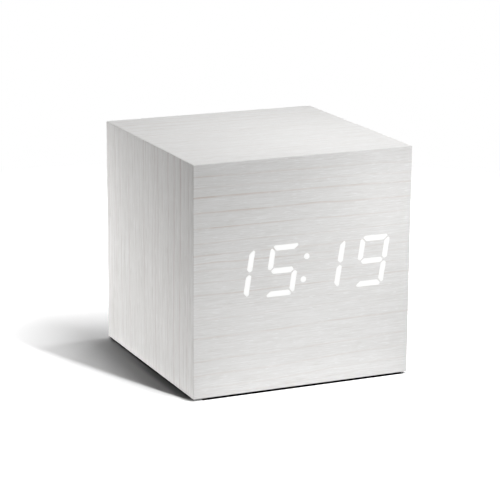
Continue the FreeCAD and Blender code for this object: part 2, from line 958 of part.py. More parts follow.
def make_socket():
    """The power socket: steel shell, moulded core with its tongue, and contact strips."""
    mouth = panel_face - socket_recess
    shell = socket_prism(0.0, main_board_back, mouth).cut(socket_prism(-socket_wall, main_board_back, mouth))
    floor = mouth - socket_depth
    core = socket_prism(-socket_wall, main_board_back, floor)
    tongue_top = panel_z + socket_height / 2 - socket_wall - tongue_gap
    tongue_low = tongue_top - tongue_height
    tongue = box(
        (socket_place - tongue_width / 2, floor, tongue_low),
        (socket_place + tongue_width / 2, mouth - tongue_recess, tongue_top),
    )
    strips = []
    for i in range(contact_count):
        x = socket_place + (i - (contact_count - 1) / 2) * contact_pitch
        strips.append(
            box(
                (x - contact_width / 2, floor, tongue_low - contact_height),
                (x + contact_width / 2, mouth - contact_recess, tongue_low),
            )
        )
    return {"socket_shell": shell, "socket_core": joined([core, tongue]), "socket_contacts": strips}


# Main board and what is on it

def on_main_board(place):
    """A place on the main board, as (X, Z)."""
    return place[0], main_board_low + place[1]


def make_main_board():
    """The circuit board behind the control panel."""
    size = (main_board_width, main_board_height)
    board = slab("Y", (0, panel_z), size, main_board_front, main_board_back, circuit_corner)
    return drilled(board, board_holes(main_screw_places(), screw_hole, main_board_front))


def make_main_screws():
    """Screws through the main board and its spacers into the back board."""
    length = inner_back - main_board_front + screw_bite
    heads = [(x, main_board_front, z) for x, z in main_screw_places()]
    return [screw(head, (0, -1, 0), screw_head_radius, length) for head in heads]


def make_chip(x, z, face, out):
    """A flat chip with a row of bent leads above and below; out is the side of the face it stands on."""
    def block(x0, x1, z0, z1, low, high):
        """A box between two heights above the face."""
        y0, y1 = sorted((face + out * low, face + out * high))
        return box((x0, y0, min(z0, z1)), (x1, y1, max(z0, z1)))

    half_length, half_width = chip_length / 2, chip_width / 2
    pieces = [block(x - half_length, x + half_length, z - half_width, z + half_width, chip_lift, chip_height)]
    knee = chip_height / 2
    for side in (-1, 1):
        root = z + side * half_width
        bend = root + side * lead_reach / 2
        heel = bend - side * lead_thickness
        tip = root + side * lead_reach
        for i in range(lead_count):
            middle = x + (i - (lead_count - 1) / 2) * lead_pitch
            x0, x1 = middle - lead_width / 2, middle + lead_width / 2
            pieces.append(block(x0, x1, root, bend, knee, knee + lead_thickness))
            pieces.append(block(x0, x1, heel, bend, 0, knee + lead_thickness))
            pieces.append(block(x0, x1, heel, tip, 0, lead_thickness))
    return joined(pieces)


def make_buzzer(x, z):
    """A round sounder with a hole in its face."""
    body = turned(
        [
            (0, 0),
            (buzzer_radius, 0),
            (buzzer_radius, buzzer_height - buzzer_edge),
            rounding(buzzer_radius, buzzer_height, buzzer_edge),
            (buzzer_hole, buzzer_height),
            (buzzer_hole, buzzer_height - buzzer_hole_depth),
            (0, buzzer_height - buzzer_hole_depth),
        ],
        (x, main_board_front, z),
        (0, -1, 0),
    )
    return body


def make_microphone(x, z):
    """The capsule that hears a clap: a can with its felt face sunk below the crimped rim."""
    felt_radius = microphone_radius - microphone_rim
    felt_height = microphone_height - microphone_rim
    profile = [
        (0, 0),
        (microphone_radius, 0),
        (microphone_radius, microphone_height),
        (felt_radius, microphone_height),
        (felt_radius, felt_height),
        (0, felt_height),
    ]
    return turned(profile, (x, main_board_front, z), (0, -1, 0))


def make_crystal(x, z):
    """The quartz can, lying on the board."""
    start = (x - crystal_length / 2, main_board_front - crystal_radius, z)
    return rod(start, (1, 0, 0), crystal_radius, crystal_length)


def make_capacitor(x, z):
    """A capacitor standing on the board, waisted near its foot."""
    waist_top = capacitor_foot + 2 * capacitor_waist
    profile = [
        (0, 0),
        (capacitor_radius, 0),
        (capacitor_radius, capacitor_foot),
        (capacitor_radius - capacitor_waist, capacitor_foot + capacitor_waist, capacitor_radius, waist_top),
        (capacitor_radius, capacitor_height),
        (0, capacitor_height),
    ]
    return turned(profile, (x, main_board_front, z), (0, -1, 0))


def make_thermistor(x, z):
    """The bead that feels the room's warmth, on two bare leads."""
    bead_y = main_board_front - thermistor_lead - thermistor_radius
    bead = Part.makeSphere(thermistor_radius, Vector(x, bead_y, z))
    legs = []
    for side in (-1, 1):
        root = (x + side * thermistor_spread, bead_y, z)
        legs.append(rod(root, (0, 1, 0), thermistor_wire, main_board_front - bead_y))
    return joined([bead] + legs)


def header_places():
    """The middles of the two headers' seats on their boards: on the display board and the main board."""
    low = Vector(display_x, display_board_back, display_z + display_header_rise)
    high = Vector(display_x, main_board_front, main_board_low + main_header_rise)
    return low, high


def make_ribbon_headers():
    """The two moulded headers that the ribbon ends in."""
    size = (header_width, header_height)
    low, high = header_places()
    return [
        slab("Y", (low.x, low.z), size, low.y, low.y + header_depth, header_corner),
        slab("Y", (high.x, high.z), size, high.y - header_depth, high.y, header_corner),
    ]


def make_ribbon():
    """The flat ribbon from board to board, hanging in one slack curve."""
    low, high = header_places()
    start = low + Vector(0, header_depth, 0)
    end = high - Vector(0, header_depth, 0)
    span = end.y - start.y
    bottom = min(start.z, end.z) - ribbon_sag
    path, _ = bent_path(
        [
            start,
            Vector(start.x, start.y + ribbon_straight * span, start.z),
            Vector(start.x, start.y + (0.5 - ribbon_belly / 2) * span, bottom),
            Vector(start.x, start.y + (0.5 + ribbon_belly / 2) * span, bottom),
            Vector(start.x, end.y - ribbon_straight * span, end.z),
            end,
        ]
    )
    half_wide, half_thick = ribbon_width / 2, ribbon_thickness / 2
    corners = ((-1, -1), (1, -1), (1, 1), (-1, 1), (-1, -1))
    section = Part.makePolygon([start + Vector(i * half_wide, 0, j * half_thick) for i, j in corners])
    return swept(path, section)


# Battery bay

def cell_x(index):
    """The middle of a cell, counted from the left."""
    return (index - (cell_count - 1) / 2) * cell_pitch


def flat_end(index):
    """The end of the bay, -1 at the front and 1 at the back, where a cell's flat end lies."""
    return 1 if index % 2 == 0 else -1


def make_hooks():
    """The snap hooks that grip the bottom board's inner face, two on each side of the tray."""
    root = bay_width / 2 + tray_wall / 2
    tip = rim_width / 2 + hook_reach
    hooks = []
    for side in (-1, 1):
        for place in (-hook_place, hook_place):
            y = place - hook_width / 2
            profile = [
                Vector(side * root, y, floor_inside),
                Vector(side * tip, y, floor_inside),
                Vector(side * tip, y, floor_inside + hook_lip),
                Vector(side * (bay_width / 2 + tray_wall), y, floor_inside + hook_height),
                Vector(side * root, y, floor_inside + hook_height),
            ]
            face = Part.Face(Part.makePolygon(profile + profile[:1]))
            hooks.append(upright(face.extrude(Vector(0, hook_width, 0))))
    return hooks


def trough_rods(radius, half_length):
    """A rod of one radius on every cell's axis."""
    starts = [(cell_x(i), -half_length, cell_axis_z) for i in range(cell_count)]
    return [rod(start, (0, 1, 0), radius, 2 * half_length) for start in starts]


def make_tray():
    """The battery tray: flange and rim in the underside, ledge for the door, round-roofed troughs, hooks."""
    flange_size = (rim_width + 2 * flange_width, rim_length + 2 * flange_width)
    flange_top = case_low.z + flange_thickness
    flange = slab("Z", (0, 0), flange_size, case_low.z, flange_top, rim_corner + flange_width)
    rim = slab("Z", (0, 0), (rim_width, rim_length), case_low.z, floor_inside, rim_corner)
    half_width = bay_width / 2 + tray_wall
    half_length = bay_length / 2 + tray_wall
    body = slab("Z", (0, 0), (2 * half_width, 2 * half_length), floor_inside, cell_axis_z, rim_corner)
    inner_radius = cell_radius + trough_clearance
    roofs = trough_rods(inner_radius + tray_roof, half_length)
    above = box((-half_width, -half_length, cell_axis_z), (half_width, half_length, tray_top))
    vault = joined(roofs).common(above)
    solid = joined([flange, rim, body, vault] + make_hooks())

    mouth_top = door_top + door_lift
    mouth = slab("Z", (0, 0), (mouth_width, mouth_length), case_low.z, mouth_top, door_corner)
    half_bay = (bay_width / 2, bay_length / 2)
    bay = box((-half_bay[0], -half_bay[1], case_low.z), (half_bay[0], half_bay[1], cell_axis_z))
    solid = solid.cut(mouth).cut(bay)
    for trough in trough_rods(inner_radius, bay_length / 2):
        solid = solid.cut(trough)
    return drilled(solid, contact_seats() + tab_pockets() + [latch_pocket()] + tail_slots())


def contact_seats():
    """The pocket across each end of the bay that the flat contacts stand in."""
    half = contact_size / 2
    made = []
    for end in (-1, 1):
        low_y, high_y = sorted((end * bay_length / 2, end * (bay_length / 2 - contact_thickness)))
        low = (-bay_width / 2, low_y, cell_axis_z - half)
        made.append(box(low, (bay_width / 2, high_y, cell_axis_z + half)))
    return made


def tab_pockets():
    """The quarter-round rooms in the rim in which the door's tabs turn."""
    reach = math.hypot(tab_reach, tab_thickness) + door_clearance
    length = tab_width + 2 * door_clearance
    made = []
    for side in (-1, 1):
        x = side * tab_place - length / 2
        sweep = rod((x, door_axis_y, door_axis_z), (1, 0, 0), reach, length)
        low = (x, door_axis_y - reach, door_axis_z)
        above = box(low, (x + length, door_axis_y + tab_thickness, door_axis_z + reach))
        made.append(sweep.common(above))
    return made


def latch_pocket():
    """The fingernail's scoop in the rim, the passage for the latch's post, and the slot for its barb."""
    half = latch_width / 2 + door_clearance
    back = mouth_length / 2
    latch_top = door_top + latch_height + door_clearance
    scoop = box((-half, back, case_low.z), (half, back + scoop_length, case_low.z + scoop_depth))
    post = box((-half, bay_length / 2, case_low.z), (half, back, latch_top))
    slot_floor = door_top + latch_height - barb_height - door_clearance
    slot = box((-half, back, slot_floor), (half, back + barb_reach + door_clearance, latch_top))
    return joined([scoop, post, slot])


def single_contacts():
    """The cells whose back contacts carry the leads, as (index, whether it is the spring end)."""
    return ((0, True), (cell_count - 1, False))


def tail_slots():
    """The slots in the tray's roof that the contacts' tails come up through."""
    back = bay_length / 2
    made = []
    for index, _ in single_contacts():
        x = cell_x(index)
        made.append(
            box(
                (x - tail_width / 2, back - contact_thickness, cell_axis_z),
                (x + tail_width / 2, back, tray_top),
            )
        )
    return made


def contact_plate(x0, x1, end):
    """A flat contact at one end of the bay, end being -1 at the front and 1 at the back."""
    low_y, high_y = sorted((end * bay_length / 2, end * (bay_length / 2 - contact_thickness)))
    half = contact_size / 2
    return box((x0 - half, low_y, cell_axis_z - half), (x1 + half, high_y, cell_axis_z + half))


def contact_leaf(x, end):
    """The bowed spring leaf that presses on a cell's flat end."""
    root = end * (bay_length / 2 - contact_thickness)
    crest = root - end * (leaf_rise - leaf_clearance)
    half = contact_size / 2
    start = Vector(x - leaf_width / 2, root, cell_axis_z - half)
    middle = Vector(x - leaf_width / 2, crest, cell_axis_z)
    finish = Vector(x - leaf_width / 2, root, cell_axis_z + half)
    thick = Vector(0, end * contact_thickness, 0)
    outer = Part.Arc(start, middle, finish).toShape()
    inner = Part.Arc(
        finish - Vector(0, 0, contact_thickness), middle + thick, start + Vector(0, 0, contact_thickness)
    ).toShape()
    foot = Part.LineSegment(start + Vector(0, 0, contact_thickness), start).toShape()
    head = Part.LineSegment(finish, finish - Vector(0, 0, contact_thickness)).toShape()
    profile = Part.Face(Part.Wire([outer, head, inner, foot]))
    return upright(profile.extrude(Vector(leaf_width, 0, 0)))


def make_contacts():
    """The bay's contacts: each flat, with a leaf at the cells' flat ends, in one row of cells."""
    made = []
    for end in (-1, 1):
        springs = [i for i in range(cell_count) if flat_end(i) == end]
        first = 0 if end == -1 else 1
        groups = [(i, i + 1) for i in range(first, cell_count - 1, 2)]
        if end == 1:
            groups = [(0, 0)] + groups + [(cell_count - 1, cell_count - 1)]
        for a, b in groups:
            pieces = [contact_plate(cell_x(a), cell_x(b), end)]
            pieces += [contact_leaf(cell_x(i), end) for i in springs if a <= i <= b]
            if a == b:
                x = cell_x(a)
                back = bay_length / 2
                pieces.append(
                    box(
                        (x - tail_width / 2, back - contact_thickness, cell_axis_z),
                        (x + tail_width / 2, back, tray_top + tail_length),
                    )
                )
            made.append(joined(pieces))
    return made


def make_cell(index):
    """A round cell with its nub, turned the other way from the cell beside it."""
    end = flat_end(index)
    base_y = end * (bay_length / 2 - contact_thickness - leaf_rise)
    can = cell_length - cell_nub_height
    return turned(
        [
            (0, 0),
            (cell_radius - cell_shoulder, 0),
            (cell_radius, cell_shoulder),
            (cell_radius, can - cell_shoulder),
            rounding(cell_radius, can, cell_shoulder),
            (cell_nub_radius, can),
            (cell_nub_radius, cell_length),
            (0, cell_length),
        ],
        (cell_x(index), base_y, cell_axis_z),
        (0, -end, 0),
    )


def make_battery_leads():
    """The two leads that bow from the contacts' tails back to the main board."""
    made = []
    tail_y = bay_length / 2 - contact_thickness
    tail_z = tray_top + tail_length - 2 * lead_wire_radius
    pad_y = main_board_front
    pad_z = main_board_low + lead_pad_rise
    bow_y = pad_y - lead_bow
    climb = pad_z - tail_z
    for (index, _), pad in zip(single_contacts(), lead_pads):
        x = cell_x(index)
        drift = pad - x
        points = [
            Vector(x, tail_y, tail_z),
            Vector(x, tail_y - lead_bow / 2, tail_z),
            Vector(x + drift * lead_bend, bow_y, tail_z + climb * lead_bend),
            Vector(x + drift * (1 - lead_bend), bow_y, pad_z - climb * lead_bend),
            Vector(x + drift, pad_y - lead_bow / 2, pad_z),
            Vector(x + drift, pad_y, pad_z),
        ]
        path, radii = bent_path(points)
        print("battery lead, radii of its bends:", radii)
        ring = Part.Wire(Part.makeCircle(lead_wire_radius, points[0], Vector(0, -1, 0)))
        made.append(swept(path, ring))
    return made


# Battery door

def make_battery_door():
    """The door: flat plate with a round hinge edge, two hook tabs and a snap latch on a springy tongue."""
    half_width = mouth_width / 2 - door_clearance
    plate = slab(
        "Z",
        (0, (door_axis_y + door_back) / 2),
        (2 * half_width, door_back - door_axis_y),
        case_low.z,
        door_top,
        door_corner,
    )
    square_front = box((-half_width, door_axis_y, case_low.z), (half_width, 0, door_top))
    knuckle = rod((-half_width, door_axis_y, door_axis_z), (1, 0, 0), door_thickness / 2, 2 * half_width)
    tabs = []
    for side in (-1, 1):
        x = side * tab_place
        low = (x - tab_width / 2, door_axis_y - tab_reach, door_axis_z + tab_drop)
        tabs.append(box(low, (x + tab_width / 2, door_axis_y, door_axis_z + tab_thickness)))
    half = latch_width / 2
    latch_top = door_top + latch_height
    post = box((-half, door_back - latch_post, door_top), (half, door_back, latch_top))
    barb = box((-half, door_back, latch_top - barb_height), (half, door_back + barb_reach, latch_top))
    door = joined([plate, square_front, knuckle] + tabs + [post, barb])
    cuts = []
    for side in (-1, 1):
        x0, x1 = sorted((side * half, side * (half + tongue_slot)))
        cuts.append(box((x0, door_back - latch_length, case_low.z), (x1, door_back, door_top)))
    for i in range(groove_count):
        y = door_back - (i + 1) * groove_pitch
        low = (groove_inset - half, y - groove_width / 2, case_low.z)
        cuts.append(box(low, (half - groove_inset, y + groove_width / 2, case_low.z + groove_depth)))
    return drilled(door, cuts)


# Feet

def make_feet():
    """Four thin round feet stuck under the corners of the case."""
    across = case_width / 2 - foot_inset
    along = case_depth / 2 - foot_inset
    profile = [
        (0, 0),
        (foot_radius - foot_edge, 0),
        (foot_radius, foot_edge),
        (foot_radius, foot_lift),
        (0, foot_lift),
    ]
    return [turned(profile, (i * across, j * along, 0), (0, 0, 1)) for i in (-1, 1) for j in (-1, 1)]


def build():
    """Every sub-part of the clock, by name."""
    lit_digits = make_lit_digits()
    wells = make_wells()
    film = slab(
        "Y",
        (display_x, display_z),
        (reflector_width, reflector_height),
        film_front,
        reflector_front,
        reflector_corner,
    )
    parts = {
        "front_board": make_front_board(),
        "back_board": make_back_board(),
        "bottom_board": make_bottom_board(),
        "top_board": mitred_plate(2, 1, board_bounds, room_bounds),
        "left_board": mitred_plate(0, 0, board_bounds, room_bounds),
        "right_board": mitred_plate(0, 1, board_bounds, room_bounds),
        "lit_digits": lit_digits,
        "diffuser_film": film,
        "reflector_block": make_reflector(wells),
        "light_bars": make_light_bars(wells),
        "light_chips": make_light_chips(),
        "display_board": make_display_board(),
        "display_spacers": spacers(display_screw_places(), inner_front, reflector_back),
        "display_screws": make_display_screws(),
        "driver_chip": make_chip(display_x, display_z + driver_chip_rise, display_board_back, 1),
        "control_panel": make_control_panel(),
        "panel_screws": make_panel_screws(),
        "main_board": make_main_board(),
        "main_spacers": spacers(main_screw_places(), main_board_back, inner_back),
        "main_screws": make_main_screws(),
        "switch_bases": make_switch_bases(),
        "switch_covers": make_switch_covers(),
        "clock_chip": make_chip(*on_main_board(clock_chip_place), main_board_front, -1),
        "buzzer": make_buzzer(*on_main_board(buzzer_place)),
        "microphone": make_microphone(*on_main_board(microphone_place)),
        "quartz_can": make_crystal(*on_main_board(quartz_place)),
        "capacitor": make_capacitor(*on_main_board(capacitor_place)),
        "thermistor": make_thermistor(*on_main_board(thermistor_place)),
        "ribbon_headers": make_ribbon_headers(),
        "ribbon_cable": make_ribbon(),
        "battery_tray": make_tray(),
        "battery_contacts": make_contacts(),
        "battery_leads": make_battery_leads(),
        "battery_door": make_battery_door(),
        "feet": make_feet(),
    }
    parts.update(make_veneers(lit_digits))
    parts.update(make_socket())
    for name, x in zip(key_names, key_places):
        parts[name] = make_key(x)
        parts[name.replace("button", "plunger")] = make_plunger(x)
    for index in range(cell_count):
        parts["cell_%d" % (index + 1)] = make_cell(index)
    return parts


os.makedirs("parts", exist_ok=True)
for name, shape in build().items():
    whole = Part.makeCompound(shape) if isinstance(shape, list) else shape
    whole.exportStep("parts/%s.step" % name)
    print("%-18s %3d solids %10.2f mm3  valid %s" % (name, len(whole.Solids), whole.Volume, whole.isValid()))
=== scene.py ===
"""Looks of a cube-shaped desk clock with white-washed wood veneer and lit digits.

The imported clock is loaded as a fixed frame. Each sub-assembly below is a class
that keeps its sizes in its fields, builds the surfaces that the solids leave to
this file, and dresses every solid in a finish. Fields are in millimetres and
degrees unless their comment says otherwise, and meshes are in metres.
"""

import logging
import math
from abc import ABC, abstractmethod
from dataclasses import dataclass
from enum import Enum, IntEnum
from typing import ClassVar, Sequence, Union

import bmesh
import bpy
import numpy as np
from mathutils import Matrix, Vector


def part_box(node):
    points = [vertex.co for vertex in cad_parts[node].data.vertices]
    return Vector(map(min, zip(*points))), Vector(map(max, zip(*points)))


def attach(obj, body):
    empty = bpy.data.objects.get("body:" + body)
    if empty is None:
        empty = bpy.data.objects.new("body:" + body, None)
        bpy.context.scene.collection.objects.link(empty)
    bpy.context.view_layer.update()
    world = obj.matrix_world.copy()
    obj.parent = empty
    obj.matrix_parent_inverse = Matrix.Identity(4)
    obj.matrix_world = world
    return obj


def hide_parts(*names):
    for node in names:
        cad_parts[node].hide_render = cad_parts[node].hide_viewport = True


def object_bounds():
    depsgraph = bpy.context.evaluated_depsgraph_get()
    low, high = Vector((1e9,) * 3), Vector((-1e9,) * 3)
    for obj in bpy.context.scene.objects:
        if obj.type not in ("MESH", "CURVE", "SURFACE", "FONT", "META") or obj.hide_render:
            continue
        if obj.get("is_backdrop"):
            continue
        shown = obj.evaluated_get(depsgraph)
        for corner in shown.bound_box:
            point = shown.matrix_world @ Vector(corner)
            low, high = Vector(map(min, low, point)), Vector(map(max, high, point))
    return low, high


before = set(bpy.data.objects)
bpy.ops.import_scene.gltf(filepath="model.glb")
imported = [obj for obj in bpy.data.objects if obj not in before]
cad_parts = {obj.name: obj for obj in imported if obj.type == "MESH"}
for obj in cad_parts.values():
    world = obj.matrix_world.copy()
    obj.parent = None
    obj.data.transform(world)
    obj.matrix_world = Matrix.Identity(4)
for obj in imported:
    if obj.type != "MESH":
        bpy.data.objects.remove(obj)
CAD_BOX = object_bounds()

log = logging.getLogger("clock")

MM = 0.001
Socket = bpy.types.NodeSocket
Triple = tuple[float, float, float]
Colour = Triple
Value = Union[Socket, float, Sequence[float]]
ROUND_STEPS, RIM_STEPS, BEAD_STEPS = 64, 6, 11
WELD = 1e-7


class Axis(IntEnum):
    """The axes of the clock's frame: to the right, to the back, and up."""

    X = 0
    Y = 1
    Z = 2


# Surfaces


@dataclass(frozen=True)
class Surface:
    """A skin of quads, with how far along the piece each point lies, from 0 to 1."""

    points: np.ndarray
    quads: np.ndarray
    along: np.ndarray


def grid_quads(rows: int, columns: int, wrap_rows: bool, wrap_columns: bool) -> np.ndarray:
    """The quads of a grid: each joins a point to the next in its row and column.

    Args:
        rows: Number of points along the first parameter.
        columns: Number of points along the second parameter.
        wrap_rows: Whether the last row joins the first.
        wrap_columns: Whether the last column joins the first.

    Returns:
        An array of four point numbers for each quad.
    """
    r = np.arange(rows if wrap_rows else rows - 1)[:, None]
    c = np.arange(columns if wrap_columns else columns - 1)[None, :]
    r1, c1 = (r + 1) % rows, (c + 1) % columns
    corners = (r * columns + c, r * columns + c1, r1 * columns + c1, r1 * columns + c)
    return np.stack(corners, axis=-1).reshape(-1, 4)


def turned_surface(profile: np.ndarray, base: Vector, axis: Vector, steps: int = ROUND_STEPS) -> Surface:
    """A profile turned about an axis.

    The point at profile step i and angle t is base plus height i along the
    axis, plus radius i times (cos t, sin t) in the plane square to the axis.

    Args:
        profile: Rows of (radius, height) in millimetres, closed on itself or on the axis.
        base: Where height 0 lies, in millimetres.
        axis: The direction in which height grows.
        steps: Number of angles.

    Returns:
        The turned skin, with each point's share of the full height.
    """
    forward = axis.normalized()
    side = forward.orthogonal().normalized()
    other = forward.cross(side)
    angle = np.linspace(0, 2 * np.pi, steps, endpoint=False)
    ring = np.cos(angle)[:, None] * np.array(side) + np.sin(angle)[:, None] * np.array(other)
    radius, height = profile[:, 0], profile[:, 1]
    middles = np.array(base) + height[:, None, None] * np.array(forward)
    points = middles + radius[:, None, None] * ring[None]
    share = (height - height.min()) / np.ptp(height)
    along = np.repeat(share, steps)
    return Surface(points.reshape(-1, 3), grid_quads(len(profile), steps, False, True), along)


def quarter_round(middle: tuple[float, float], radius: float, start: int, steps: int = 7) -> np.ndarray:
    """A quarter circle of a profile.

    Args:
        middle: The circle's middle, as (radius, height).
        radius: The circle's own radius.
        start: Where it starts, in quarter turns from level, going anticlockwise.
        steps: Number of points.

    Returns:
        Rows of (radius, height).
    """
    turn = np.linspace(start, start + 1, steps) * np.pi / 2
    return np.array(middle) + radius * np.stack([np.cos(turn), np.sin(turn)], axis=1)


def smoothed_loop(corners: np.ndarray, count: int, rounding: int) -> np.ndarray:
    """A closed loop through corners, evenly stepped and then rounded.

    Each point becomes the mean of its neighbours within a window, so corners
    turn into soft bends and straight runs stay straight.

    Args:
        corners: Rows of (x, y), in order round the loop.
        count: Number of points on the loop.
        rounding: How many neighbours on each side go into the mean.

    Returns:
        Rows of (x, y), count of them.
    """
    closed = np.concatenate([corners, corners[:1]])
    run = np.concatenate([[0.0], np.cumsum(np.hypot(*np.diff(closed, axis=0).T))])
    where = np.linspace(0, run[-1], count, endpoint=False)
    loop = np.stack([np.interp(where, run, closed[:, k]) for k in (0, 1)], axis=1)
    window = np.arange(-rounding, rounding + 1)
    picked = (np.arange(count)[:, None] + window[None, :]) % count
    return loop[picked].mean(axis=1)


def raised_pad(loop: np.ndarray, height: float, edge: float, sunk: float) -> Surface:
    """A flat-topped raised shape with a rounded rim, closed underneath.

    At parameter u the loop is drawn in towards its middle by a share, and
    lifted: the wall rises straight, the rim follows a quarter circle of radius
    edge, and the top runs level to the middle.

    Args:
        loop: Rows of (x, y) round the shape, seen from its raised side.
        height: How far the top stands out.
        edge: Radius of the rim.
        sunk: How far the foot goes into what it stands on.

    Returns:
        The closed skin, standing on the plane of zero height.
    """
    middle = loop.mean(axis=0)
    reach = np.hypot(*(loop - middle).T).mean()
    turn = np.linspace(0, np.pi / 2, RIM_STEPS)
    inwards = np.concatenate([[reach, 0.0], edge * (1 - np.cos(turn)), [reach]])
    lift = np.concatenate([[-sunk, -sunk], height - edge * (1 - np.sin(turn)), [height]])
    share = 1 - inwards / reach
    flat = middle + share[:, None, None] * (loop - middle)[None]
    points = np.concatenate([flat, np.broadcast_to(lift[:, None, None], flat.shape[:2] + (1,))], axis=2)
    quads = grid_quads(len(share), len(loop), False, True)
    return Surface(points.reshape(-1, 3), quads, np.repeat(share, len(loop)))


def raised_bead(loop: np.ndarray, width: float, height: float, sunk: float) -> Surface:
    """A half-round bead that runs round a loop.

    The section is half an ellipse, width across and height up, closed by a
    flat foot. It is carried round the loop along the loop's own normal.

    Args:
        loop: Rows of (x, y) round the bead's middle line.
        width: Width of the bead's foot.
        height: How far the bead stands out.
        sunk: How far its foot goes into what it stands on.

    Returns:
        The closed skin of the bead.
    """
    way = np.roll(loop, -1, axis=0) - np.roll(loop, 1, axis=0)
    normal = np.stack([way[:, 1], -way[:, 0]], axis=1) / np.hypot(*way.T)[:, None]
    turn = np.linspace(0, np.pi, BEAD_STEPS)
    across = np.concatenate([[width / 2], width / 2 * np.cos(turn), [-width / 2]])
    lift = np.concatenate([[-sunk], height * np.sin(turn), [-sunk]])
    flat = loop[:, None, :] + across[None, :, None] * normal[:, None, :]
    points = np.concatenate([flat, np.broadcast_to(lift[None, :, None], flat.shape[:2] + (1,))], axis=2)
    quads = grid_quads(len(loop), len(across), True, True)
    return Surface(points.reshape(-1, 3), quads, np.repeat(np.linspace(0, 1, len(loop)), len(across)))


def on_plane(surface: Surface, origin: Vector, right: Vector, up: Vector) -> Surface:
    """A surface drawn flat, laid on a plane: x goes right, y up, and height out.

    Args:
        surface: The skin to lay down.
        origin: Where its own origin goes, in millimetres.
        right: The direction of its x.
        up: The direction of its y.

    Returns:
        The same skin in the clock's frame.
    """
    axes = np.array([right, up, right.cross(up)])
    return Surface(surface.points @ axes + np.array(origin), surface.quads, surface.along)


def mesh_piece(name: str, surface: Surface, crease: float = 35.0) -> bpy.types.Object:
    """A mesh object at the origin whose place is in its points.

    Args:
        name: The piece's name.
        surface: Its skin, in millimetres.
        crease: Angle in degrees above which an edge stays sharp.

    Returns:
        The object, with closed poles and outward faces.
    """
    mesh = bpy.data.meshes.new(name)
    mesh.from_pydata((surface.points * MM).tolist(), [], surface.quads.tolist())
    attribute = mesh.attributes.new("along", "FLOAT", "POINT")
    attribute.data.foreach_set("value", surface.along.astype(np.float32))
    work = bmesh.new()
    work.from_mesh(mesh)
    bmesh.ops.remove_doubles(work, verts=work.verts, dist=WELD)
    bmesh.ops.dissolve_degenerate(work, edges=work.edges, dist=WELD)
    bmesh.ops.recalc_face_normals(work, faces=work.faces)
    work.to_mesh(mesh)
    work.free()
    mesh.shade_smooth()
    mesh.set_sharp_from_angle(angle=math.radians(crease))
    piece = bpy.data.objects.new(name, mesh)
    bpy.context.scene.collection.objects.link(piece)
    return piece


# Finishes

NOISE_LOW, NOISE_HIGH = 0.3, 0.7  # soft noise lies between them nearly everywhere
MIX_A, MIX_B, MIX_RESULT = 6, 7, 2  # the colour sockets of a mix node


def toned(colour: Colour, factor: float) -> Colour:
    """A colour made darker or lighter by a factor."""
    return tuple(factor * part for part in colour)


